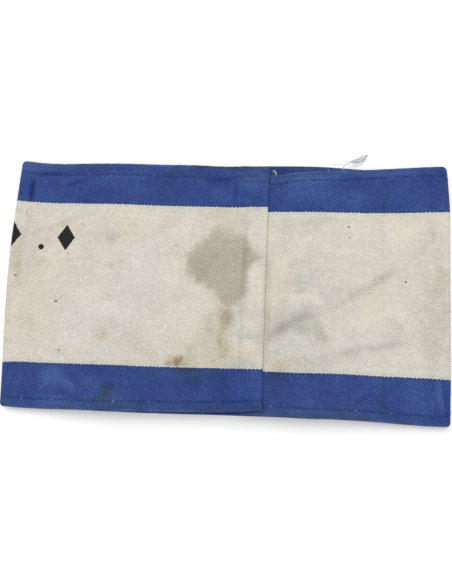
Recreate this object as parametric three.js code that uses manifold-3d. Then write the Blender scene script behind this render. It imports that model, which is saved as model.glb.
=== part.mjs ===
// Cotton armband lying flat: one strip of drill, hemmed along both long edges, bent round at two end
// folds and joined into a loop by a plain seam on the upper side.
//
// Millimetres, +Z up. X runs along the band, Y across it, and its lower face lies on z = 0.
// The strip is followed from its hidden end under the seam: out along the right panel, round the right
// fold, back along the lower layer, round the left fold and along the left panel to the seam.

import * as THREE from 'three';
import { mergeVertices } from 'three/addons/utils/BufferGeometryUtils.js';
import Module from 'manifold-3d';

// Cloth
const WALL = 1.0;
const CLOTH_COLOUR = 0xd5d0c4;
const CLOTH_ROUGHNESS = 0.92;

// Hem along each long edge, turned to the inside of the loop
const HEM_DEPTH = 4.4;
const HEM_EXTRA = 0.3;
const HEM_STEP = 0.3;
const EDGE_ROUND_WIDTH = 0.6;
const EDGE_ROUND_INSET = 0.3;

// End folds: x is the outermost face at the corners, bow is how much further out the middle stands
const FOLD_HEIGHT = 3.2;
const FOLD_RADIUS = FOLD_HEIGHT / 2;
const LEFT_FOLD = { x: -85.2, bow: -2.3 };
const RIGHT_FOLD = { x: 86.3, bow: 1.2 };
const BOW_HALF_SPAN = 50;
const BOW_STARTS = 55;
const CORNER_ROUND = 1.5;

// Seam: both ends of the strip are pressed to the left under the left panel
const SEAM_EDGE = 16.9;
const ALLOWANCE_EDGE = 8.6;
const SEAM_GAP = 0.3;
const TURNED_THICKNESS = 1.6;
const TURN_ROUND = TURNED_THICKNESS / 2;
const STITCHED_WEB = { fromEdge: 1.2, width: 0.8, bite: 0.5, endMargin: 1.5 };

// Heights of the upper side's outer face
const CROWN = 6.9;
const SEAM_TOP = CROWN + SEAM_GAP + TURNED_THICKNESS;

// Sections of each panel: x along the band, z of the outer face, and the long edges in Y
const RIGHT_PANEL = [
  { x: ALLOWANCE_EDGE, z: CROWN, top: 43.7, bottom: -48.3 },
  { x: 19.0, z: CROWN, top: 44.1, bottom: -48.4 },
  { x: 31.0, z: CROWN, top: 45.1, bottom: -48.5 },
  { x: 45.0, z: 6.2, top: 46.4, bottom: -48.6 },
  { x: 58.0, z: 5.0, top: 47.2, bottom: -49.0 },
  { x: 71.0, z: 3.8, top: 48.9, bottom: -49.5 },
  { x: 78.0, z: 3.4, top: 49.5, bottom: -49.7 },
  { x: RIGHT_FOLD.x - FOLD_RADIUS, z: FOLD_HEIGHT, top: 49.8, bottom: -49.7 },
];
const LOWER_LAYER = [
  { x: LEFT_FOLD.x + FOLD_RADIUS, z: 0, top: 50.1, bottom: -49.6 },
  { x: -60.0, z: 0, top: 49.7, bottom: -50.1 },
  { x: -22.0, z: 0, top: 49.6, bottom: -50.1 },
  { x: 1.0, z: 0, top: 49.8, bottom: -49.5 },
  { x: 28.0, z: 0, top: 49.9, bottom: -49.2 },
  { x: 46.0, z: 0, top: 48.9, bottom: -49.2 },
  { x: RIGHT_FOLD.x - FOLD_RADIUS, z: 0, top: 49.8, bottom: -49.7 },
];
const LEFT_PANEL = [
  { x: LEFT_FOLD.x + FOLD_RADIUS, z: FOLD_HEIGHT, top: 50.1, bottom: -49.6 },
  { x: -78.0, z: 3.4, top: 49.6, bottom: -49.9 },
  { x: -70.0, z: 4.1, top: 49.1, bottom: -50.1 },
  { x: -55.0, z: 6.0, top: 48.6, bottom: -49.6 },
  { x: -42.0, z: CROWN, top: 48.4, bottom: -49.4 },
  { x: -25.0, z: CROWN, top: 48.1, bottom: -49.0 },
  { x: -12.0, z: 7.0, top: 47.9, bottom: -48.3 },
  { x: -2.0, z: 7.7, top: 47.2, bottom: -47.8 },
  { x: 5.0, z: 8.5, top: 47.0, bottom: -47.4 },
  { x: 10.0, z: SEAM_TOP, top: 46.9, bottom: -47.1 },
  { x: SEAM_EDGE, z: SEAM_TOP, top: 46.5, bottom: -46.5 },
];

// Soft creases of the upper side: centre, length, turn from X in degrees, half width, and lift
const CREASES = [
  { panel: RIGHT_PANEL, x: 29.0, y: -13.5, length: 24, turn: 28, width: 3.0, lift: 0.4 },
  { panel: RIGHT_PANEL, x: 54.7, y: -22.9, length: 19, turn: 13, width: 3.0, lift: 0.4 },
  { panel: RIGHT_PANEL, x: 64.5, y: 8.3, length: 17, turn: 30, width: 3.0, lift: 0.4 },
  { panel: RIGHT_PANEL, x: 79.0, y: 8.5, length: 12, turn: -42, width: 2.5, lift: 0.3 },
  { panel: RIGHT_PANEL, x: 77.0, y: 23.4, length: 8, turn: -73, width: 2.5, lift: 0.3 },
  { panel: LEFT_PANEL, x: -78.0, y: 33.0, length: 26, turn: 90, width: 3.0, lift: 0.4 },
  { panel: LEFT_PANEL, x: -64.9, y: 22.4, length: 23, turn: 26, width: 3.0, lift: 0.4 },
  { panel: LEFT_PANEL, x: -64.5, y: 40.0, length: 9, turn: 23, width: 2.5, lift: 0.3 },
  { panel: LEFT_PANEL, x: 12.5, y: 19.2, length: 17, turn: 90, width: 2.5, lift: 0.4 },
];

// Fineness of the faceted cloth
const PANEL_STEP = 4.5;
const LOWER_STEP = 16;
const MIDDLE_COLUMNS = 10;
const FOLD_STEPS = 8;
const TURN_ROUND_ANGLES = [0, 30, 60, 75];

/** Returns a function that reads z, top and bottom of a panel at any x. */
function panelReader(rows) {
  const positions = rows.map((row) => row.x);
  const samples = rows.flatMap((row) => [row.z, row.top, row.bottom]);
  const curve = new THREE.CubicInterpolant(positions, samples, 3);
  return (x) => {
    const [z, top, bottom] = curve.evaluate(x);
    return { x, z, top, bottom };
  };
}

/** Splits a stretch into even steps no longer than the given one, with both ends included. */
function evenSteps(from, to, longest) {
  const count = Math.ceil(Math.abs(to - from) / longest);
  return Array.from({ length: count + 1 }, (_, i) => from + ((to - from) * i) / count);
}

/** Points across the strip: y, and depth, which is the distance from the nearer long edge. */
function columnsAcross(bottom, top) {
  const edge = [0, EDGE_ROUND_WIDTH, CORNER_ROUND, HEM_DEPTH - HEM_STEP, HEM_DEPTH + HEM_STEP];
  const hemLine = HEM_DEPTH + HEM_STEP;
  const middle = evenSteps(bottom + hemLine, top - hemLine, (top - bottom - 2 * hemLine) / MIDDLE_COLUMNS);
  return [
    ...edge.map((depth) => ({ y: bottom + depth, depth })),
    ...middle.slice(1, -1).map((y) => ({ y, depth: Math.min(y - bottom, top - y) })),
    ...edge.toReversed().map((depth) => ({ y: top - depth, depth })),
  ];
}

/** How far a fold's outermost face is bowed out at y and drawn in at its rounded corners. */
function foldShift(fold, y, depth) {
  const side = Math.sign(fold.x);
  const intoCorner = Math.max(CORNER_ROUND - depth, 0);
  const corner = CORNER_ROUND - Math.sqrt(CORNER_ROUND ** 2 - intoCorner ** 2);
  return fold.bow * (1 - (y / BOW_HALF_SPAN) ** 2) - side * corner;
}

/** Share of the nearer fold's shift that the cloth takes at x. */
function foldShare(x) {
  const fold = x < 0 ? LEFT_FOLD : RIGHT_FOLD;
  return THREE.MathUtils.smoothstep(Math.abs(x), BOW_STARTS, Math.abs(fold.x) - FOLD_RADIUS);
}

/** Sum of the creases' lift at a point of a panel. */
function creaseLift(panel, x, y) {
  let lift = 0;
  for (const crease of CREASES.filter((row) => row.panel === panel)) {
    const turn = THREE.MathUtils.degToRad(crease.turn);
    const along = (x - crease.x) * Math.cos(turn) + (y - crease.y) * Math.sin(turn);
    const across = (y - crease.y) * Math.cos(turn) - (x - crease.x) * Math.sin(turn);
    const fade = 1 - THREE.MathUtils.smoothstep(Math.abs(along), crease.length / 4, crease.length / 2 + crease.width);
    lift += crease.lift * fade * Math.exp(-((across / crease.width) ** 2));
  }
  return lift;
}

/** One ring of points round the strip's cross-section: the outer face and then the inner face. */
function ringAt(station) {
  const { x, z, top, bottom, inward, panel, turned = false, inset = 0 } = station;
  const fold = x < 0 ? LEFT_FOLD : RIGHT_FOLD;
  const outer = [];
  const inner = [];
  for (const { y, depth } of columnsAcross(bottom, top)) {
    const cloth = depth < HEM_DEPTH ? WALL + HEM_EXTRA : WALL;
    const thickness = turned ? TURNED_THICKNESS : cloth;
    const rounding = Math.max(inset, depth === 0 ? EDGE_ROUND_INSET : 0);
    const place = new THREE.Vector3(x + foldShare(x) * foldShift(fold, y, depth), y, z);
    place.z += creaseLift(panel, place.x, y);
    outer.push(place.clone().addScaledVector(inward, rounding));
    inner.push(place.clone().addScaledVector(inward, thickness - rounding));
  }
  return [...outer, ...inner.toReversed()];
}

/** Closed geometry through a row of rings, each an outer row followed by its inner row in reverse. */
function loft(rings) {
  const size = rings[0].length;
  const positions = rings.flat().flatMap((point) => point.toArray());
  const faces = [];
  const quad = (a, b, c, d) => faces.push(a, b, c, a, c, d);
  for (let i = 0; i < rings.length - 1; i += 1) {
    for (let j = 0; j < size; j += 1) {
      const next = (j + 1) % size;
      quad(i * size + j, (i + 1) * size + j, (i + 1) * size + next, i * size + next);
    }
  }
  const last = (rings.length - 1) * size;
  for (let j = 0; j < size / 2 - 1; j += 1) {
    const across = size - 1 - j;
    quad(j, j + 1, across - 1, across);
    quad(last + j, last + across, last + across - 1, last + j + 1);
  }
  const geometry = new THREE.BufferGeometry();
  geometry.setAttribute('position', new THREE.Float32BufferAttribute(positions, 3));
  geometry.setIndex(faces);
  return geometry;
}

/** Stations of the upper side from one x to another, on the given panel. */
function upperStations(panel, xs, extra = {}) {
  const read = panelReader(panel);
  const inward = new THREE.Vector3(0, 0, -1);
  return xs.map((x) => ({ ...read(x), inward, panel, ...extra }));
}

/** Stations round an end fold; angles are measured from +X towards +Z, in degrees. */
function foldStations(fold, row, fromAngle, toAngle) {
  const centreX = fold.x - Math.sign(fold.x) * FOLD_RADIUS;
  return evenSteps(fromAngle, toAngle, Math.abs(toAngle - fromAngle) / FOLD_STEPS).slice(1, -1).map((degrees) => {
    const angle = THREE.MathUtils.degToRad(degrees);
    const outward = new THREE.Vector3(Math.cos(angle), 0, Math.sin(angle));
    return {
      x: centreX + FOLD_RADIUS * outward.x,
      z: FOLD_RADIUS + FOLD_RADIUS * outward.z,
      top: row.top,
      bottom: row.bottom,
      inward: outward.clone().negate(),
    };
  });
}

/** Stations of the lower layer, from the right fold to the left one. */
function lowerStations() {
  const read = panelReader(LOWER_LAYER);
  const inward = new THREE.Vector3(0, 0, 1);
  const xs = evenSteps(LOWER_LAYER.at(-1).x, LOWER_LAYER[0].x, LOWER_STEP);
  return xs.map((x) => ({ ...read(x), inward }));
}

/** Stations of the left panel's turned end, with its edge at the seam rounded over. */
function turnedStations() {
  const flat = evenSteps(ALLOWANCE_EDGE + HEM_STEP, SEAM_EDGE - TURN_ROUND, PANEL_STEP);
  const rounded = TURN_ROUND_ANGLES.slice(1).map((degrees) => {
    const angle = THREE.MathUtils.degToRad(degrees);
    return {
      x: SEAM_EDGE - TURN_ROUND + TURN_ROUND * Math.sin(angle),
      inset: TURN_ROUND * (1 - Math.cos(angle)),
    };
  });
  const stations = upperStations(LEFT_PANEL, [...flat, ...rounded.map((row) => row.x)], { turned: true });
  rounded.forEach((row, i) => {
    stations[flat.length + i].inset = row.inset;
  });
  return stations;
}

/** The whole strip, from its hidden end to the seam's edge. */
function stripGeometry() {
  const rightXs = evenSteps(ALLOWANCE_EDGE, RIGHT_PANEL.at(-1).x, PANEL_STEP);
  const leftXs = evenSteps(LEFT_PANEL[0].x, ALLOWANCE_EDGE - HEM_STEP, PANEL_STEP);
  const stations = [
    ...upperStations(RIGHT_PANEL, rightXs),
    ...foldStations(RIGHT_FOLD, RIGHT_PANEL.at(-1), 90, -90),
    ...lowerStations(),
    ...foldStations(LEFT_FOLD, LEFT_PANEL[0], -90, -270),
    ...upperStations(LEFT_PANEL, leftXs),
    ...turnedStations(),
  ];
  return loft(stations.map(ringAt));
}

/** The stitched line of the seam, a narrow web that ties the two ends of the strip together. */
function seamWebGeometry() {
  const x = SEAM_EDGE - STITCHED_WEB.fromEdge;
  const under = panelReader(RIGHT_PANEL)(x);
  const over = panelReader(LEFT_PANEL)(x);
  const low = under.z - STITCHED_WEB.bite;
  const high = over.z - TURNED_THICKNESS + STITCHED_WEB.bite;
  const bottom = Math.max(under.bottom, over.bottom) + STITCHED_WEB.endMargin;
  const top = Math.min(under.top, over.top) - STITCHED_WEB.endMargin;
  const web = new THREE.BoxGeometry(STITCHED_WEB.width, top - bottom, high - low);
  web.translate(x, (top + bottom) / 2, (high + low) / 2);
  return web;
}

/** Makes a solid of a closed geometry, for joining. */
function solidOf(wasm, geometry) {
  const bare = geometry.clone();
  bare.deleteAttribute('normal');
  bare.deleteAttribute('uv');
  const merged = mergeVertices(bare);
  const mesh = new wasm.Mesh({
    numProp: 3,
    vertProperties: new Float32Array(merged.attributes.position.array),
    triVerts: new Uint32Array(merged.index.array),
  });
  return new wasm.Manifold(mesh);
}

/** Turns a joined solid back into a geometry. */
function geometryOf(solid) {
  const mesh = solid.getMesh();
  const geometry = new THREE.BufferGeometry();
  geometry.setAttribute('position', new THREE.BufferAttribute(mesh.vertProperties, mesh.numProp));
  geometry.setIndex(new THREE.BufferAttribute(mesh.triVerts, 1));
  geometry.computeVertexNormals();
  return geometry;
}

const wasm = await Module();
wasm.setup();

const strip = solidOf(wasm, stripGeometry());
const web = solidOf(wasm, seamWebGeometry());
const band = new THREE.Mesh(
  geometryOf(strip.add(web)),
  new THREE.MeshStandardMaterial({ color: CLOTH_COLOUR, roughness: CLOTH_ROUGHNESS, metalness: 0 }),
);
band.name = 'band';

const armband = new THREE.Group();
armband.add(band);

export default armband;
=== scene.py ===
"""Cotton armband: one strip of striped drill, hemmed, seamed into a loop and lying flat on a pale floor.

Metres, +Z up; only the tables of sections, creases, stains and marks, and the loose ends of thread, are
in millimetres. X runs along the band and Y across it, and the loop lies on the floor at z = 0. The strip
is followed from its hidden end under the seam: along the right panel, round the right fold, back along
the lower layer, round the left fold and along the left panel to the seam, where its end is turned under.
"""

import logging
import math
from dataclasses import dataclass, field, fields
from enum import Enum
from typing import Iterable, Mapping, Sequence

import bpy
import numpy as np
from mathutils import Matrix, Vector, noise


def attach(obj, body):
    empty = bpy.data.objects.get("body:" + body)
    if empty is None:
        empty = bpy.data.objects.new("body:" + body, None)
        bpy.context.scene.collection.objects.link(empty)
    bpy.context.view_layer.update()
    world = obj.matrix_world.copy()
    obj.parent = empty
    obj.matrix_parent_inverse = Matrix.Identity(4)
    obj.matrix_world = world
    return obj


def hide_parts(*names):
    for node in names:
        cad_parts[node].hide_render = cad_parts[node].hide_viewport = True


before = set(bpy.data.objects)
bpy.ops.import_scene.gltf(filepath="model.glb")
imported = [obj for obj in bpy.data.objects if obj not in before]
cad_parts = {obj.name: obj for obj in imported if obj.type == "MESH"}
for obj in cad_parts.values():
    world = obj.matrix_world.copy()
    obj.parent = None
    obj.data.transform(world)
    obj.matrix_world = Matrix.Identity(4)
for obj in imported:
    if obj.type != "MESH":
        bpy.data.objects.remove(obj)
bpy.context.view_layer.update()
LOG = logging.getLogger("armband")

ROOT = "root"
BAND_NODE = "band"
CLOTH_MAP = "cloth"
BAKE_MAP = "OFBake"
EDGE_ATTRIBUTE = "edge_distance"
CREASE_ATTRIBUTE = "crease"
STITCH_ATTRIBUTE = "stitch_distance"

Pair = tuple[float, float]
Point = tuple[float, float, float]
Colour = tuple[float, float, float, float]
Socket = bpy.types.NodeSocket
Sockets = Mapping[str, Socket]
Inputs = Mapping[str | int, object]


def metres(lengths: Iterable[float]) -> list[float]:
    """Turns lengths in millimetres, as the tables give them, into metres."""
    return [length / 1000 for length in lengths]


class Layer(Enum):
    """The stretches of the strip, in the order in which it is followed."""

    RIGHT_PANEL = "right panel"
    RIGHT_FOLD = "right fold"
    LOWER = "lower layer"
    LEFT_FOLD = "left fold"
    LEFT_PANEL = "left panel"
    SEAM_FOLD = "seam fold"
    ALLOWANCE = "seam allowance"


class Edge(Enum):
    """The two long edges of the strip; the value is the side of Y on which each lies."""

    TOP = 1
    BOTTOM = -1


@dataclass(frozen=True)
class Section:
    """A section across the strip.

    x is its place along the band and z the height of its outer face. top and bottom are the long edges,
    upper and lower are the borders of the blue stripes, and stitch is how far in from the upper edge the
    hem's stitching runs.
    """

    x: float
    z: float
    top: float
    bottom: float
    upper: float
    lower: float
    stitch: float


def sections(*rows: Sequence[float]) -> list[Section]:
    """Makes sections from rows of their values, in millimetres."""
    return [Section(*metres(row)) for row in rows]


RIGHT_SECTIONS = sections(
    (8.6, 6.95, 43.6, -48.3, 28.5, -32.3, 4), (19, 6.9, 44, -48.4, 28.8, -32.4, 4),
    (31, 6.9, 45.4, -48.7, 29, -32.4, 3.6), (45, 6.2, 46.4, -48.6, 29.3, -32.2, 4),
    (58, 5, 47.4, -49, 29.6, -32.5, 3.7), (71, 3.8, 48.7, -49.6, 30.3, -32.6, 3.5),
    (78, 3.4, 49.3, -49.8, 30.8, -32.7, 3.6), (84.7, 3.2, 49.7, -49.8, 31.1, -32.9, 3.7),
)
LOWER_SECTIONS = sections(
    (-83.6, 0, 50.1, -49.6, 32.8, -32.7, 4.6), (-60, 0, 49.4, -49.9, 32.1, -32.4, 4.4),
    (-22, 0, 49.3, -49.9, 31.2, -32.2, 4.2), (1, 0, 49.7, -49.5, 31.1, -32.2, 4),
    (28, 0, 50.1, -49.2, 31, -32.3, 4), (37, 0, 50, -49.1, 31, -32.4, 3.9),
    (46, 0, 49.5, -49.2, 31.1, -32.5, 3.8), (53, 0, 49, -49.3, 31.2, -32.6, 3.8),
    (84.7, 0, 49.7, -49.8, 31.1, -32.9, 3.7),
)
LEFT_SECTIONS = sections(
    (-83.6, 3.2, 50.1, -49.6, 32.8, -32.7, 4.6), (-78, 3.4, 49.4, -49.8, 32.4, -32.4, 4.7),
    (-70, 4.1, 48.7, -49.8, 31.8, -32.4, 4.8), (-55, 6, 48.2, -49.4, 31.2, -32.3, 4.8),
    (-42, 6.9, 48, -49.2, 30.9, -32.2, 4.7), (-25, 6.9, 47.7, -48.7, 30.5, -32.2, 4.9),
    (-12, 7, 47.6, -48.3, 30.4, -32.1, 5), (-2, 7.3, 47.1, -47.8, 30.3, -31.9, 5),
    (5, 7.7, 46.9, -47.4, 30.1, -31.8, 4.6), (10, 7.9, 46.7, -47, 30.4, -31.7, 4),
    (16.9, 7.95, 46.4, -46.3, 30.5, -31.6, 3.7),
)


@dataclass(frozen=True)
class Crease:
    """A crease of the upper side.

    x and y are its middle, width is the half width of its steep side and gentle how many times wider the
    other side is. A crease with a lift below 0 is a groove. turn is its direction in degrees from X.
    The darkening along it (grime) is partly dirt that it holds and partly painted shade of the
    crease; below 0 it is the wear along it. crest is how far a raised crease's top lies from its middle,
    in widths.
    """

    layer: Layer
    x: float
    y: float
    length: float
    width: float
    lift: float
    turn: float
    grime: float
    gentle: float = 2.5
    crest: float = 0.7

    def at(self, x: np.ndarray, y: np.ndarray) -> np.ndarray:
        """Gives the crease's lift, and the dirt and painted shade along it, at points of its panel.

        Args:
            x: Places along the band.
            y: Places across it.

        Returns:
            The lifts and the dirt and painted shade, as two rows.
        """
        along, across = along_and_across(x - self.x, y - self.y, self.turn)
        fade = 1 - smoothstep(np.abs(along), self.length / 5, self.length / 2 + self.width)
        from_crest = across - self.crest * self.width * (self.lift > 0)
        spread = self.width * np.where(from_crest > 0, self.gentle, 1.0)
        bell = fade * np.exp(-((from_crest / spread) ** 2))
        # The darkening along the crease: partly dirt, partly painted shade.
        dirt = fade * np.exp(-((across / self.width) ** 2))
        return np.stack([self.lift * bell, self.grime * dirt])


LEFT, RIGHT = Layer.LEFT_PANEL, Layer.RIGHT_PANEL
# The darkening of each crease is partly dirt and partly painted shade of the crease.
CREASE_ROWS = {
    RIGHT: (
        (27.6, -13.7, 17, 2.6, 0.8, 26, 1.45), (20.6, -17.8, 10, 2, 0.5, 33, 0.95),
        (38.5, -8.6, 12, 2.1, 0.35, 12, 0.45), (48, -4, 14, 1.5, 0.45, 33, 0.5),
        (60, 3.8, 20, 1.7, 0.5, 36, 0.62), (73, 13.2, 13, 1.4, 0.3, 40, 0.3),
        (37.5, -16.3, 12, 2, 0.36, -60, 1.15), (48, -24, 12, 1.4, 0.3, 20, 0.7),
        (61, -21.2, 20, 1.3, 0.4, 9, 0.75), (36, 25.2, 15, 1.2, 0.26, 13, 0.45),
        (33, 21.5, 10, 1.2, 0.18, 20, 0.3), (78.6, 23.1, 7, 0.8, 0.18, -71, 0.85),
        (82.4, 7.9, 6, 0.8, 0.18, -49, 0.7), (61.4, -1, 110, 0.5, -0.06, 90, 0.22, 1.0),
        # These two rows have no lift: they paint shade along the seam's edge.
        (17.7, -8, 56, 0.8, 0, 90, 0.8, 1.0), (18, -15, 24, 1, 0, 90, 0.6, 1.0),
        (51.2, -43, 5, 0.6, 0.14, 55, 0.4), (55, -39.8, 6, 0.6, 0.14, 26, 0.4),
        (48, 13, 22, 2.6, 0.22, 30, 0.0),
    ),
    LEFT: (
        # The first row here has no lift: it paints shade along the seam's edge.
        (16.7, -10, 56, 0.3, 0, 90, 0.9, 1.0), (-79, 37.5, 11, 0.7, -0.3, 90, 1.2, 1.0),
        (-79, 23, 16, 0.8, -0.22, 90, 0.55, 1.0), (-80.3, 3, 19, 1, -0.16, 93, 0.45, 1.0),
        (-63.5, 23.7, 17, 1.1, 0.26, 21, 0.75), (-60.5, 40.3, 12, 0.8, 0.2, 13, 0.55),
        (-72, 44.3, 18, 0.8, -0.15, -1, 0.6, 1.0), (-2.5, 41.2, 15, 0.7, -0.13, 1, 0.5, 1.0),
        (4.2, 37, 9, 0.6, -0.12, 90, 0.45, 1.0), (-67.1, -40.2, 11, 0.8, 0.22, 53, -0.45),
        (-58.4, -38.9, 12.5, 1, 0.22, -30, -0.5), (-42, 16, 18, 2.6, 0.22, 30, 0.0),
        (8.2, -3, 64, 0.6, -0.1, 90, 0.32, 1.0), (13, -19.3, 5, 0.5, -0.12, 2, 0.35, 1.0),
    ),
}
CREASES = [
    Crease(layer, *metres(row[:5]), *row[5:]) for layer, rows in CREASE_ROWS.items() for row in rows
]


@dataclass(frozen=True)
class ClothSizes:
    """Sizes of the drill and of the way in which it is folded and sewn.

    The bows and dents move the end folds along X. hem_drape is the stretch over which the cloth comes down
    past a hem, and flat_width is the finished band's width.
    """

    thickness: float = 0.00045
    ply_gap: float = 0.00002
    hem_depth: float = 0.0054
    hem_drape: float = 0.0012
    flat_width: float = 0.0990
    bottom_stitch: float = 0.0037
    fold_height: float = 0.0032
    left_fold: float = -0.08535
    left_bow: float = -0.0020
    left_dent: float = 0.0005
    left_dent_at: float = -0.030
    right_fold: float = 0.08575
    right_bow: float = 0.0011
    right_dent: float = 0.0012
    right_dent_at: float = 0.035
    bow_half_span: float = 0.050
    dent_half_span: float = 0.021
    bow_starts: float = 0.055
    corner_round: float = 0.0015
    seam_edge: float = 0.0169
    allowance_edge: float = 0.0086
    seam_bulk_starts: float = 0.0030
    seam_bulk_full: float = 0.0088
    seam_lean: float = 0.0045
    seam_lean_from: float = 0.018
    stripe_spacing: float = 0.064

    @property
    def ply(self) -> float:
        """Height that one more layer of cloth takes."""
        return self.thickness + self.ply_gap

    @property
    def cut_width(self) -> float:
        """Width of the strip before its hems were turned."""
        return self.flat_width + 2 * self.hem_depth

    @property
    def fold_radius(self) -> float:
        """Outer radius of the end folds."""
        return self.fold_height / 2


@dataclass(frozen=True)
class Relief:
    """Small shapes of the cloth's surface: the hems, their stitching, and gentle waves.

    hem_ease lies about the hem's depth, seam_lead ahead of the seam's bulk, and seam_tail and clear_of_seam
    past the seam's edge. Each wave has a height, a size and a layer of noise of its own, and the waves die
    out over wave_margin towards the long edges.
    """

    hem_rise: float = 0.00012
    hem_ease: Pair = (-0.0004, 0.0006)
    groove_depth: float = 0.00013
    groove_width: float = 0.00050
    pucker_height: float = 0.00007
    pucker_pitch: float = 0.0052
    pucker_slant: float = 0.35
    pucker_wander: float = 3.0
    wander_scale: float = 90.0
    waves: tuple[Point, ...] = ((0.00028, 0.024, 1.7), (0.00008, 0.008, 5.2))
    wave_margin: float = 0.010
    seam_lead: float = 0.0026
    seam_tail: Pair = (0.0003, 0.0021)
    clear_of_seam: float = 0.0015


@dataclass(frozen=True)
class Station:
    """A place along the strip.

    x and z lie on the outer face before the folds are bowed out, inward points into the loop, along is the
    distance along the cloth, section gives what the tables say there, turn is the angle round the seam's
    edge, and back is the share of the seam allowance that lies behind it.
    """

    layer: Layer
    x: float
    z: float
    inward: Pair
    along: float
    section: Section
    turn: float = 0.0
    back: float = 0.0


@dataclass
class Columns:
    """Points across the strip, each held by one of its edges or lying between the hems.

    side is 1 or -1 for a point held by the top or bottom edge and 0 for one between the hems, place is the
    distance from that edge or the share of the way between the hems, inset is the depth of the cloth's
    middle under the outer face, and turned is the length of cloth past the folded edge.
    """

    side: np.ndarray
    place: np.ndarray
    inset: np.ndarray
    turned: np.ndarray


def smoothstep(value: np.ndarray | float, low: float, high: float) -> np.ndarray | float:
    """Eases from 0 at low to 1 at high.

    Args:
        value: Number or array to ease.
        low: Where the result leaves 0.
        high: Where the result reaches 1.

    Returns:
        The eased number or array.
    """
    share = np.clip((value - low) / (high - low), 0.0, 1.0)
    return share * share * (3 - 2 * share)


def along_and_across(right: np.ndarray, up: np.ndarray, turn: float) -> tuple[np.ndarray, np.ndarray]:
    """Splits distances into those along and across a direction.

    Args:
        right: Distances to the right.
        up: Distances upwards.
        turn: The direction, in degrees from the right.

    Returns:
        Distances along it, and across it.
    """
    angle = math.radians(turn)
    return right * math.cos(angle) + up * math.sin(angle), up * math.cos(angle) - right * math.sin(angle)


def read_sections(rows: Sequence[Section], x: float) -> Section:
    """Reads a table of sections at any x, on a smooth curve through its rows.

    Args:
        rows: The sections, by rising x.
        x: Place along the band.

    Returns:
        The section there.
    """
    names = [column.name for column in fields(Section)]
    table = np.array([[getattr(row, name) for name in names] for row in rows])
    xs = table[:, 0]
    x = float(np.clip(x, xs[0], xs[-1]))
    i = int(np.clip(np.searchsorted(xs, x, side="right") - 1, 0, len(xs) - 2))
    slopes = np.gradient(table, xs, axis=0)
    step = xs[i + 1] - xs[i]
    t = (x - xs[i]) / step
    start, end = (1 + 2 * t) * (1 - t) ** 2, t * t * (3 - 2 * t)
    leave, arrive = t * (1 - t) ** 2 * step, t * t * (t - 1) * step
    values = start * table[i] + end * table[i + 1] + leave * slopes[i] + arrive * slopes[i + 1]
    return Section(x, *(float(value) for value in values[1:]))


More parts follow.
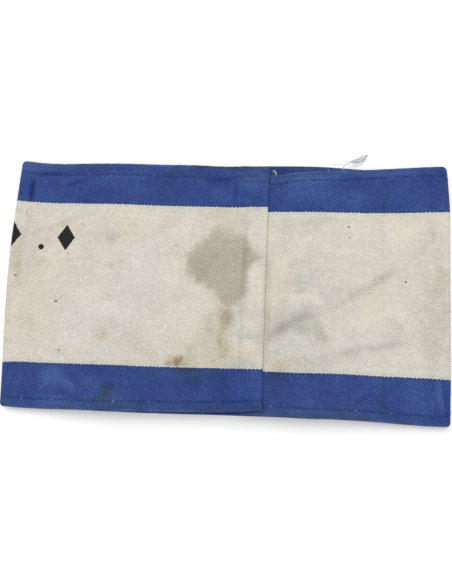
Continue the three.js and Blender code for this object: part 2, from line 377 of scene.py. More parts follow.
@dataclass
class StripShape:
    """The strip's route round the loop, and the place of every point of its cloth.

    route gives the length of each stretch, and panels the sections of each flat one, where it starts and
    whether it is followed to the right (1) or to the left (-1).
    """

    sizes: ClothSizes = field(default_factory=ClothSizes)
    relief: Relief = field(default_factory=Relief)

    def __post_init__(self) -> None:
        """Works out the route's stretches."""
        sizes = self.sizes
        self.right_centre = sizes.right_fold - sizes.fold_radius
        self.left_centre = sizes.left_fold + sizes.fold_radius
        self.panel_end = sizes.seam_edge - sizes.thickness / 2 - sizes.ply / 2
        self.panels = {
            Layer.RIGHT_PANEL: (RIGHT_SECTIONS, sizes.allowance_edge, 1),
            Layer.LOWER: (LOWER_SECTIONS, self.right_centre, -1),
            Layer.LEFT_PANEL: (LEFT_SECTIONS, self.left_centre, 1),
        }
        bend = math.pi * (sizes.fold_radius - sizes.thickness / 2)
        self.route = {
            Layer.RIGHT_PANEL: self.right_centre - sizes.allowance_edge,
            Layer.RIGHT_FOLD: bend,
            Layer.LOWER: self.right_centre - self.left_centre,
            Layer.LEFT_FOLD: bend,
            Layer.LEFT_PANEL: self.panel_end - self.left_centre,
            Layer.SEAM_FOLD: math.pi * sizes.ply / 2,
            Layer.ALLOWANCE: self.panel_end - sizes.allowance_edge,
        }

    def start_of(self, layer: Layer) -> float:
        """Distance along the cloth at which a stretch begins."""
        stretches = list(self.route)
        return sum(self.route[before] for before in stretches[: stretches.index(layer)])

    @property
    def length(self) -> float:
        """Length of the whole strip."""
        return sum(self.route.values())

    def station(self, along: float) -> Station:
        """Finds the place at a distance along the cloth.

        Args:
            along: Distance from the hidden end of the strip.

        Returns:
            The station there.
        """
        left = along
        for layer, length in self.route.items():
            if left <= length or layer is Layer.ALLOWANCE:
                break
            left -= length
        share = min(max(left / length, 0.0), 1.0)
        sizes = self.sizes
        if layer in self.panels:
            rows, start, sense = self.panels[layer]
            section = read_sections(rows, start + sense * left)
            return Station(layer, section.x, section.z, (0.0, float(-sense)), along, section)
        if layer in (Layer.RIGHT_FOLD, Layer.LEFT_FOLD):
            right = layer is Layer.RIGHT_FOLD
            angle = math.pi * (0.5 - share) if right else math.pi * (-0.5 - share)
            centre = self.right_centre if right else self.left_centre
            outward = (math.cos(angle), math.sin(angle))
            section = RIGHT_SECTIONS[-1] if right else LEFT_SECTIONS[0]
            x = centre + sizes.fold_radius * outward[0]
            z = sizes.fold_radius * (1 + outward[1])
            return Station(layer, x, z, (-outward[0], -outward[1]), along, section)
        turn = math.pi * share if layer is Layer.SEAM_FOLD else math.pi
        back = share if layer is Layer.ALLOWANCE else 0.0
        section = read_sections(LEFT_SECTIONS, sizes.seam_edge)
        return Station(layer, section.x, section.z, (0.0, -1.0), along, section, turn, back)

    def across(self, station: Station, columns: Columns) -> tuple[np.ndarray, np.ndarray]:
        """Places columns across a station.

        Args:
            station: Place along the strip.
            columns: Points across it.

        Returns:
            Y of each column, and its distance from the nearer long edge.
        """
        top, bottom = station.section.top, station.section.bottom
        hem = self.sizes.hem_depth
        between = bottom + hem + (top - bottom - 2 * hem) * columns.place
        held = np.where(columns.side > 0, top - columns.place, bottom + columns.place)
        y = np.where(columns.side == 0, between, held)
        return y, np.minimum(y - bottom, top - y)

    def fold_shift(self, x: np.ndarray, y: np.ndarray, depth: np.ndarray) -> np.ndarray:
        """How far the nearer end fold moves the cloth along X: its bow and dent, and its rounded corners.

        Args:
            x: Places along the band.
            y: Places across it.
            depth: Distances from the nearer long edge.

        Returns:
            The moves along X.
        """
        sizes = self.sizes
        on_left = x < 0
        bow = np.where(on_left, sizes.left_bow, sizes.right_bow)
        dent = np.where(on_left, sizes.left_dent, sizes.right_dent)
        from_dent = (y - np.where(on_left, sizes.left_dent_at, sizes.right_dent_at)) / sizes.dent_half_span
        reach = np.where(on_left, -self.left_centre, self.right_centre)
        into_corner = np.clip(sizes.corner_round - depth, 0.0, sizes.corner_round)
        corner = sizes.corner_round - np.sqrt(sizes.corner_round**2 - into_corner**2)
        line = bow * (1 - (y / sizes.bow_half_span) ** 2) + dent * np.exp(-(from_dent**2))
        shift = line - np.where(on_left, -1.0, 1.0) * corner
        share = np.clip((np.abs(x) - sizes.bow_starts) / (reach - sizes.bow_starts), 0.0, 1.0)
        return shift * share * share * (3 - 2 * share)

    def seam_shift(self, y: np.ndarray | float) -> np.ndarray | float:
        """How far the seam's edge leans along X at a place across the band."""
        return self.sizes.seam_lean * (y - self.sizes.seam_lean_from)

    def crease_at(self, layer: Layer, x: np.ndarray, y: np.ndarray) -> tuple[np.ndarray, np.ndarray]:
        """Sums the creases of a panel; the plies under the seam follow the left panel, which covers them.

        Args:
            layer: The stretch of the strip.
            x: Places along the band.
            y: Places across it.

        Returns:
            The creases' lift, and the darkening along them: dirt, and painted shade.
        """
        edge = self.sizes.seam_edge
        clear = smoothstep(x, edge, edge + self.relief.clear_of_seam)
        shares = {RIGHT: clear, LEFT: 1 - clear} if layer is Layer.RIGHT_PANEL else {LEFT: 1.0}
        if layer in (Layer.LOWER, Layer.RIGHT_FOLD, Layer.LEFT_FOLD):
            shares = {}
        total = np.zeros((2, len(y)))
        for crease in CREASES:
            if crease.layer in shares:
                total += crease.at(x, y) * shares[crease.layer]
        return total[0], total[1]

    def rise(self, station: Station, x: np.ndarray, y: np.ndarray, depth: np.ndarray) -> np.ndarray:
        """How far the cloth stands out of its smooth route, on the upper side and over the folds.

        Args:
            station: Place along the strip.
            x: Places along the band.
            y: Places across it.
            depth: Distances from the nearer long edge.

        Returns:
            The heights, outwards.
        """
        sizes, relief = self.sizes, self.relief
        share = (1 - station.inward[1]) / 2
        ease_in, ease_out = (sizes.hem_depth + part for part in relief.hem_ease)
        inside_hem = 1 - smoothstep(depth, ease_in, ease_out)
        from_stitch = self.past_stitch(station, y, depth)
        groove = relief.groove_depth * np.exp(-((from_stitch / relief.groove_width) ** 2))
        if share == 0:
            return -groove
        leave, left = (sizes.seam_edge + part for part in relief.seam_tail)
        in_seam = smoothstep(x, sizes.seam_bulk_full - relief.seam_lead, sizes.seam_bulk_full)
        in_seam = in_seam * (1 - smoothstep(x, leave, left))
        phase = 2 * math.pi * (station.along + relief.pucker_slant * depth) / relief.pucker_pitch
        wander = relief.pucker_wander * noise.noise(Vector((station.along * relief.wander_scale, 3.0, 0.0)))
        puckers = relief.pucker_height * inside_hem * np.sin(phase + wander)
        waves = np.zeros_like(y)
        for height, size, plane in relief.waves:
            waves += [height * noise.noise(Vector((a / size, b / size, plane))) for a, b in zip(x, y)]
        waves *= smoothstep(depth, 0.0, relief.wave_margin)
        lift, _ = self.crease_at(station.layer, x, y)
        hems = share * (relief.hem_rise * inside_hem + puckers) - groove
        return hems * (1 - in_seam) + share * (waves + lift)

    def past_stitch(self, station: Station, y: np.ndarray, depth: np.ndarray) -> np.ndarray:
        """How much further in from the edge than the hem's stitching a point lies."""
        return depth - np.where(y > 0, station.section.stitch, self.sizes.bottom_stitch)

    def hem_share(self, depth: np.ndarray) -> np.ndarray:
        """1 where the hem doubles the cloth, easing to 0 past it."""
        hem = self.sizes.hem_depth
        return 1 - smoothstep(depth, hem, hem + self.sizes.hem_drape)

    def points(self, station: Station, columns: Columns) -> np.ndarray:
        """Places the cloth's middle at every column of a station.

        Args:
            station: Place along the strip.
            columns: Points across it.

        Returns:
            One row of X, Y and Z for each column.
        """
        sizes = self.sizes
        y, depth = self.across(station, columns)
        hem = self.hem_share(depth)
        x = np.full_like(y, station.x)
        inset = columns.inset.copy()
        if station.layer is Layer.LEFT_PANEL:
            x -= sizes.ply * hem * smoothstep(station.x, self.panel_end - sizes.hem_depth, self.panel_end)
        if station.layer in (Layer.SEAM_FOLD, Layer.ALLOWANCE):
            middle = sizes.thickness / 2 + sizes.ply * (0.5 + hem)
            reach = middle - sizes.thickness / 2
            centre = sizes.seam_edge - sizes.thickness / 2 - reach
            x = centre + (middle - inset) * math.sin(station.turn)
            x += (sizes.allowance_edge - centre) * station.back
            inset = middle - (middle - inset) * math.cos(station.turn)
        x = x + self.fold_shift(x, y, depth)
        z = np.full_like(y, station.z)
        if station.layer in (Layer.LEFT_PANEL, Layer.SEAM_FOLD, Layer.ALLOWANCE):
            if station.layer is Layer.ALLOWANCE:
                z = np.array([read_sections(LEFT_SECTIONS, float(place)).z for place in x])
            bulk = smoothstep(x, sizes.seam_bulk_starts, sizes.seam_bulk_full)
            z = z + 2 * sizes.ply * hem * bulk
            x = x + self.seam_shift(y) * bulk
        depth_in = inset - self.rise(station, x, y, depth)
        return np.stack([x + station.inward[0] * depth_in, y, z + station.inward[1] * depth_in], axis=1)

    def weave_place(self, station: Station, columns: Columns) -> np.ndarray:
        """Gives each column's place on the flat cloth: along the warp, and across it from the middle.

        Args:
            station: Place along the strip.
            columns: Points across it.

        Returns:
            One row of two distances for each column.
        """
        y, _ = self.across(station, columns)
        upper, lower = station.section.upper, station.section.lower
        middle, spread = (upper + lower) / 2, self.sizes.stripe_spacing / (upper - lower)
        edge = np.where(columns.side > 0, station.section.top, station.section.bottom)
        y = np.where(columns.turned > 0, edge, y)
        v = (y - middle) * spread + columns.side * columns.turned
        return np.stack([np.full_like(v, station.along), v], axis=1)

    def along_at(self, layer: Layer, x: float) -> float:
        """Distance along the cloth of a place on a flat stretch."""
        _, start, sense = self.panels[layer]
        return self.start_of(layer) + sense * (x - start)

    def cloth_place(self, layer: Layer, x: float, y: float) -> Pair:
        """Gives the place on the flat cloth of a point of a flat stretch.

        Args:
            layer: The stretch of the strip.
            x: Place along the band.
            y: Place across it.

        Returns:
            Distances along the warp and across it from the middle.
        """
        section = read_sections(self.panels[layer][0], x)
        spread = self.sizes.stripe_spacing / (section.upper - section.lower)
        return self.along_at(layer, x), (y - (section.upper + section.lower) / 2) * spread


def deselect_all() -> None:
    """Leaves object mode with nothing selected."""
    if bpy.context.object and bpy.context.object.mode != "OBJECT":
        bpy.ops.object.mode_set(mode="OBJECT")
    bpy.ops.object.select_all(action="DESELECT")


def pick(thing: bpy.types.Object) -> None:
    """Makes an object the selected, active one.

    Args:
        thing: The object.
    """
    deselect_all()
    thing.select_set(True)
    bpy.context.view_layer.objects.active = thing


def apply_all(thing: bpy.types.Object) -> None:
    """Applies every modifier of an object, in order.

    Args:
        thing: The object.
    """
    pick(thing)
    for modifier in list(thing.modifiers):
        bpy.ops.object.modifier_apply(modifier=modifier.name)


def mesh_object(name: str, points: np.ndarray, faces: Iterable[Sequence[int]]) -> bpy.types.Object:
    """Makes an object of points and faces.

    Args:
        name: The object's name.
        points: One row of X, Y and Z for each point.
        faces: Point numbers of each face.

    Returns:
        The new object, linked to the scene.
    """
    mesh = bpy.data.meshes.new(name)
    mesh.from_pydata([tuple(map(float, point)) for point in points], [], [tuple(face) for face in faces])
    mesh.update()
    thing = bpy.data.objects.new(name, mesh)
    bpy.context.scene.collection.objects.link(thing)
    return thing


def settle(thing: bpy.types.Object) -> None:
    """Fixes a finished piece to the object's one body and logs how many faces it has.

    Args:
        thing: The piece.
    """
    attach(thing, ROOT)
    LOG.info("%s: %d faces", thing.name, len(thing.data.polygons))


class Tree:
    """Adds nodes to one node tree and links them."""

    def __init__(self, tree: bpy.types.NodeTree) -> None:
        """Starts on a tree."""
        self.tree = tree

    def put(self, value: object, socket: Socket) -> None:
        """Links a socket to an input, or sets the input to a value.

        Args:
            value: The socket or the value.
            socket: The input.
        """
        if isinstance(value, Socket):
            self.tree.links.new(value, socket)
        else:
            socket.default_value = value

    def node(self, kind: str, inputs: Inputs | None = None, **settings: object) -> bpy.types.Node:
        """Adds a node.

        Args:
            kind: Its type, such as ShaderNodeMath.
            inputs: Its inputs, by name or number, each a socket or a value.
            **settings: Its properties.

        Returns:
            The node.
        """
        made = self.tree.nodes.new(kind)
        for name, value in settings.items():
            setattr(made, name, value)
        for name, value in (inputs or {}).items():
            self.put(value, made.inputs[name])
        return made

    def math(self, operation: str, *values: object, clamp: bool = False) -> Socket:
        """Works out a number from others; clamp keeps it within 0 and 1."""
        inputs = dict(enumerate(values))
        return self.node("ShaderNodeMath", inputs, operation=operation, use_clamp=clamp).outputs[0]

    def times(self, first: object, second: object, clamp: bool = False) -> Socket:
        """Multiplies two values."""
        return self.math("MULTIPLY", first, second, clamp=clamp)

    def less(self, value: object, taken: object) -> Socket:
        """Takes the second value from the first."""
        return self.math("SUBTRACT", value, taken)

    def line(self, value: object, slope: object, start: object) -> Socket:
        """Multiplies a value by a slope and adds the start."""
        return self.math("MULTIPLY_ADD", value, slope, start)

    def ease(self, value: object, low: object, high: object) -> Socket:
        """Gives a smooth step from 0 at low to 1 at high."""
        inputs = {"Value": value, "From Min": low, "From Max": high}
        return self.node("ShaderNodeMapRange", inputs, interpolation_type="SMOOTHSTEP").outputs["Result"]

    def fade(self, value: object, low: object, high: object) -> Socket:
        """Gives a smooth step from 1 at low down to 0 at high."""
        return self.less(1.0, self.ease(value, low, high))

    def mix(self, share: object, first: object, second: object, blend: str = "MIX") -> Socket:
        """Mixes two colours; the share is how much of the second shows."""
        inputs = {0: share, 6: first, 7: second}
        return self.node("ShaderNodeMix", inputs, data_type="RGBA", blend_type=blend).outputs[2]

    def noise(self, vector: object, scale: float, detail: float, rough: float = 0.5) -> Socket:
        """Gives smooth noise near 0.5, of so many finer layers and so rough."""
        inputs = {"Vector": vector, "Scale": scale, "Detail": detail, "Roughness": rough}
        return self.node("ShaderNodeTexNoise", inputs, noise_dimensions="3D").outputs["Fac"]

    def vector(self, operation: str, first: object, second: object) -> Socket:
        """Works out a vector from two others."""
        return self.node("ShaderNodeVectorMath", {0: first, 1: second}, operation=operation).outputs[0]

    def split(self, vector: object) -> list[Socket]:
        """Separates a vector into its three numbers."""
        return list(self.node("ShaderNodeSeparateXYZ", {0: vector}).outputs)

    def attribute(self, name: str, output: str = "Fac") -> Socket:
        """Reads a value that the mesh holds at each point."""
        return self.node("ShaderNodeAttribute", attribute_name=name).outputs[output]

    def bump(self, height: object, distance: float, strength: float) -> Socket:
        """Gives the normal of a fine relief whose height of 1 is as high as the distance."""
        inputs = {"Strength": strength, "Distance": distance, "Height": height}
        return self.node("ShaderNodeBump", inputs).outputs[0]

    def use(self, group: bpy.types.NodeTree, **inputs: object) -> Sockets:
        """Adds a node group, whose inputs have _ for each space in a name, and gives its outputs."""
        named = {name.replace("_", " "): value for name, value in inputs.items()}
        return self.node("ShaderNodeGroup", named, node_tree=group).outputs


def new_group(
    name: str, inputs: Mapping[str, float | None], outputs: Sequence[str]
) -> tuple[Tree, Sockets, Sockets]:
    """Starts a shader node group.

    Args:
        name: The group's name.
        inputs: Name of each input, with its first value, or None for a vector.
        outputs: Names of the outputs, all numbers.

    Returns:
        The group's tree, the sockets that bring what is put in, and those that take the results.
    """
    group = bpy.data.node_groups.new(name, "ShaderNodeTree")
    for label, value in inputs.items():
        kind = "NodeSocketVector" if value is None else "NodeSocketFloat"
        socket = group.interface.new_socket(name=label, in_out="INPUT", socket_type=kind)
        if value is not None:
            socket.default_value = value
    for label in outputs:
        group.interface.new_socket(name=label, in_out="OUTPUT", socket_type="NodeSocketFloat")
    tree = Tree(group)
    return tree, tree.node("NodeGroupInput").outputs, tree.node("NodeGroupOutput").inputs


def new_material(name: str, inputs: Inputs) -> tuple[bpy.types.Material, Tree, bpy.types.Node]:
    """Starts a material.

    Args:
        name: The material's name.
        inputs: The constant inputs of its shader.

    Returns:
        The material, its tree and its shader.
    """
    material = bpy.data.materials.new(name)
    material.use_nodes = True
    shader = material.node_tree.nodes["Principled BSDF"]
    for label, value in inputs.items():
        shader.inputs[label].default_value = value
    return material, Tree(material.node_tree), shader


@dataclass
class ClothEffects:
    """Shader node groups that the cloth's materials share, and the numbers that shape them.

    A pair whose name ends in _ease is where a smooth step starts and ends, and the scales are the fineness
    of noise on the flat cloth.
    """

    repeat: float = 3.0
    float_fullness: float = 0.6
    yarn_roundness: float = 0.55
    weft_height: float = 0.5
    weft_ease: Pair = (-0.05, 0.15)
    slub_scales: Point = (90.0, 3400.0, 1.0)
    stain_inward: float = 0.3
    stain_outward: float = 0.5
    speck_ease: Pair = (0.2, 1.8)
    ink_scale: float = 1500.0
    ink_detail: float = 2.0
    ink_rough: float = 0.7
    ink_ragged: float = 0.22
    ink_on_yarns: float = 0.05
    ink_ease: Pair = (0.94, 1.04)
    mottle_scales: tuple[float, ...] = (55.0, 62.0, 150.0, 520.0)
    mottle_detail: float = 3.0
    mottle_rough: float = 0.58
    tint_offset: Point = (0.7, 0.3, 0.2)
    nep_scale: float = 190.0
    nep_rarity: float = 0.72
    nep_size: float = 0.03
    nep_growth: float = 0.035

    def __post_init__(self) -> None:
        """Builds each group once."""
        self.weave = self.build_weave()
        self.stain = self.build_stain()
        self.speck = self.build_speck()
        self.lozenge = self.build_lozenge()
        self.mottle = self.build_mottle()

    def build_weave(self) -> bpy.types.NodeTree:
        """Builds drill woven over two and under one, its ribs rising to the right.

        Returns:
            A group that gives the height of the yarns, how deep each spot lies between the ribs, the share
            of weft that shows, each yarn's tone, and a number from 0 to 1 for each stitch of the weave.
        """
        inputs = {"Cloth": None, "Ends": 3400.0, "Picks": 1900.0}
        outputs = ("Height", "Between Ribs", "Weft", "Yarn", "Chance")
        tree, source, result = new_group("drill weave", inputs, outputs)
        along, over_band, _ = tree.split(source["Cloth"])
        end_at = tree.times(over_band, source["Ends"])
        pick_at = tree.times(along, source["Picks"])
        end = tree.math("FLOOR", end_at)
        step = tree.math("FLOORED_MODULO", tree.less(pick_at, end), self.repeat)
        float_rise = tree.math("SINE", tree.times(tree.less(step, 1.0), math.pi / 2))
        float_rise = tree.math("POWER", tree.math("MAXIMUM", float_rise, 0.0), self.float_fullness)
        off_centre = tree.line(tree.less(end_at, end), 2.0, -1.0)
        round_yarn = tree.less(1.0, tree.times(off_centre, off_centre))
        warp = tree.times(float_rise, tree.line(round_yarn, self.yarn_roundness, 1 - self.yarn_roundness))
        weft_rise = tree.math("SINE", tree.times(step, math.pi))
        weft = tree.times(tree.times(weft_rise, tree.math("LESS_THAN", step, 1.0)), self.weft_height)
        shows = tree.ease(tree.less(weft, warp), *self.weft_ease)
        rib_angle = tree.times(tree.less(pick_at, end_at), 2 * math.pi / self.repeat)
        between = tree.line(tree.math("COSINE", rib_angle), 0.5, 0.5)
        from_end = tree.less(tree.math("ADD", pick_at, 1.0), end)
        float_at = tree.math("FLOOR", tree.math("DIVIDE", from_end, self.repeat))
        crossing = tree.node("ShaderNodeCombineXYZ", {0: float_at, 1: end}).outputs[0]
        chance = tree.node("ShaderNodeTexWhiteNoise", {"Vector": crossing}, noise_dimensions="2D")
        own = tree.node("ShaderNodeTexWhiteNoise", {"W": end}, noise_dimensions="1D")
        slub = tree.noise(tree.vector("MULTIPLY", source["Cloth"], self.slub_scales), 1.0, 1.0)
        tone = tree.math("ADD", tree.times(own.outputs["Value"], 0.5), tree.times(slub, 0.5))
        given = (tree.math("MAXIMUM", warp, weft), between, shows, tone, chance.outputs["Value"])
        for name, value in zip(outputs, given):
            tree.put(value, result[name])
        return tree.tree

    def build_stain(self) -> bpy.types.NodeTree:
        """Builds the stains of one kind, with soft, uneven edges.

        The field's X says how near a spot is to the middle of a stain (0.5 at its edge), Y how strong that
        stain is and Z how soft its edge.

        Returns:
            A group that gives the stains' strength.
        """
        inputs = {"Field": None, "Wander": 0.0, "Reach": 1.0}
        tree, source, result = new_group("stain", inputs, ("Mask",))
        near, strength, softness = tree.split(source["Field"])
        uneven = tree.line(tree.times(source["Wander"], source["Reach"]), -0.5, near)
        low = tree.line(softness, -self.stain_inward, 0.5)
        high = tree.line(softness, self.stain_outward, 0.5)
        tree.put(tree.times(tree.ease(uneven, low, high), strength, clamp=True), result["Mask"])
        return tree.tree

    def build_speck(self) -> bpy.types.NodeTree:
        """Builds one small dark speck.

        Returns:
            A group that gives the speck's strength.
        """
        inputs = {
            "Cloth": None, "Middle U": 0.0, "Middle V": 0.0, "Half Length": 0.001, "Half Width": 0.001,
            "Strength": 1.0,
        }
        tree, source, result = new_group("speck", inputs, ("Mask",))
        squares = []
        for place, axis, half in zip(tree.split(source["Cloth"]), "UV", ("Half Length", "Half Width")):
            share = tree.math("DIVIDE", tree.less(place, source[f"Middle {axis}"]), source[half])
            squares.append(tree.times(share, share))
        near = tree.fade(tree.math("ADD", *squares), *self.speck_ease)
        tree.put(tree.times(near, source["Strength"]), result["Mask"])
        return tree.tree

    def build_lozenge(self) -> bpy.types.NodeTree:
        """Builds a plain printed lozenge, whose ink has caught on the yarns' tops.

        Returns:
            A group that gives the ink's strength.
        """
        inputs = {
            "Cloth": None, "Middle U": 0.0, "Middle V": 0.0, "Half Width": 0.004, "Half Height": 0.005,
            "Roundness": 1.0, "Height": 1.0,
        }
        tree, source, result = new_group("lozenge", inputs, ("Ink",))
        sides = []
        for place, axis, half in zip(tree.split(source["Cloth"]), "UV", ("Half Width", "Half Height")):
            away = tree.math("ABSOLUTE", tree.less(place, source[f"Middle {axis}"]))
            sides.append(tree.math("POWER", tree.math("DIVIDE", away, source[half]), source["Roundness"]))
        ragged = tree.noise(source["Cloth"], self.ink_scale, self.ink_detail, self.ink_rough)
        caught = tree.times(tree.less(source["Height"], 0.5), self.ink_on_yarns)
        worn = tree.times(tree.less(ragged, 0.5), self.ink_ragged)
        uneven = tree.less(tree.math("ADD", tree.math("ADD", *sides), worn), caught)
        tree.put(tree.fade(uneven, *self.ink_ease), result["Ink"])
        return tree.tree

    def build_mottle(self) -> bpy.types.NodeTree:
        """Builds the slow unevenness of worn cotton, with rare dark neps.

        Returns:
            A group that gives unevenness of three sizes and one of tint, each near 0, and a mask of neps.
        """
        outputs = ("Broad", "Tint", "Middling", "Fine", "Neps")
        tree, source, result = new_group("mottle", {"Cloth": None}, outputs)
        place = source["Cloth"]
        shifted = tree.vector("ADD", place, self.tint_offset)
        for name, scale in zip(outputs, self.mottle_scales):
            where = shifted if name == "Tint" else place
            value = tree.noise(where, scale, self.mottle_detail, self.mottle_rough)
            tree.put(tree.less(value, 0.5), result[name])
        inputs = {"Vector": place, "Scale": self.nep_scale}
        cells = tree.node("ShaderNodeTexVoronoi", inputs, voronoi_dimensions="2D")
        chosen = tree.node("ShaderNodeSeparateColor", {0: cells.outputs["Color"]})
        rare = tree.math("GREATER_THAN", chosen.outputs[0], self.nep_rarity)
        size = tree.line(chosen.outputs[1], self.nep_growth, self.nep_size)
        near = tree.fade(cells.outputs["Distance"], 0.0, size)
        strength = tree.times(chosen.outputs[2], chosen.outputs[2])
        tree.put(tree.times(tree.times(near, rare), strength), result["Neps"])
        return tree.tree


class Mark(Enum):
    """What has marked the cloth: its colour, how the cloth's colour takes it, and how ragged it is.

    The last two values name the unevenness that moves a mark's edge, and say by how much. The mark WORN
    has no colour: it shows more of the weft in the blue. The grey mark is mostly painted shade, beside
    ridges, creases, the folds and the seam's edge, with some grey dirt.
    """

    WARM = ((1.01, 0.99, 0.945, 1.0), "MULTIPLY", "Middling", 1.1)
    PINK = ((1.02, 0.992, 0.985, 1.0), "MULTIPLY", "Middling", 1.1)
    COOL = ((0.985, 1.0, 1.022, 1.0), "MULTIPLY", "Middling", 1.1)
    OLIVE = ((0.84, 0.84, 0.74, 1.0), "MULTIPLY", "Middling", 1.1)
    # Mostly painted shade, with some grey dirt.
    GREY = ((0.74, 0.76, 0.77, 1.0), "MULTIPLY", "Middling", 1.1)
    TAN = ((0.84, 0.71, 0.50, 1.0), "MULTIPLY", "Middling", 1.2)
    GOLD = ((0.87, 0.84, 0.78, 1.0), "MULTIPLY", "Middling", 1.2)
    DAMP = ((0.58, 0.525, 0.465, 1.0), "MULTIPLY", "Middling", 0.55)
    PALE = ((1.05, 1.05, 1.04, 1.0), "MULTIPLY", "Middling", 1.1)
    SOIL = ((0.86, 0.75, 0.37, 1.0), "MULTIPLY", "Middling", 1.3)
    RUST = ((0.20, 0.13, 0.06, 1.0), "MIX", "Fine", 1.3)
    BROWN = ((0.135, 0.090, 0.040, 1.0), "MIX", "Fine", 1.5)
    WORN = (None, "", "Middling", 1.1)

    @property
    def attribute(self) -> str:
        """Name of the field that holds this mark's stains."""
        return f"stain_{self.name.lower()}"


@dataclass(frozen=True)
class Stain:
    """A stain: its mark and stretch, its middle, half sizes, strength, turn in degrees and softness."""

    mark: Mark
    layer: Layer
    x: float
    y: float
    half_length: float
    half_width: float
    strength: float
    turn: float = 0.0
    softness: float = 0.90

    def nearness(self, right: np.ndarray, up: np.ndarray) -> np.ndarray:
        """Says how near points are to the stain's middle.

        Args:
            right: How far they lie from it along the cloth.
            up: How far they lie from it across the cloth.

        Returns:
            1 at its middle, 0.5 at its edge and 0 far outside.
        """
        along, across = along_and_across(right, up, self.turn)
        return np.clip(1 - np.hypot(along / self.half_length, across / self.half_width) / 2, 0, 1)


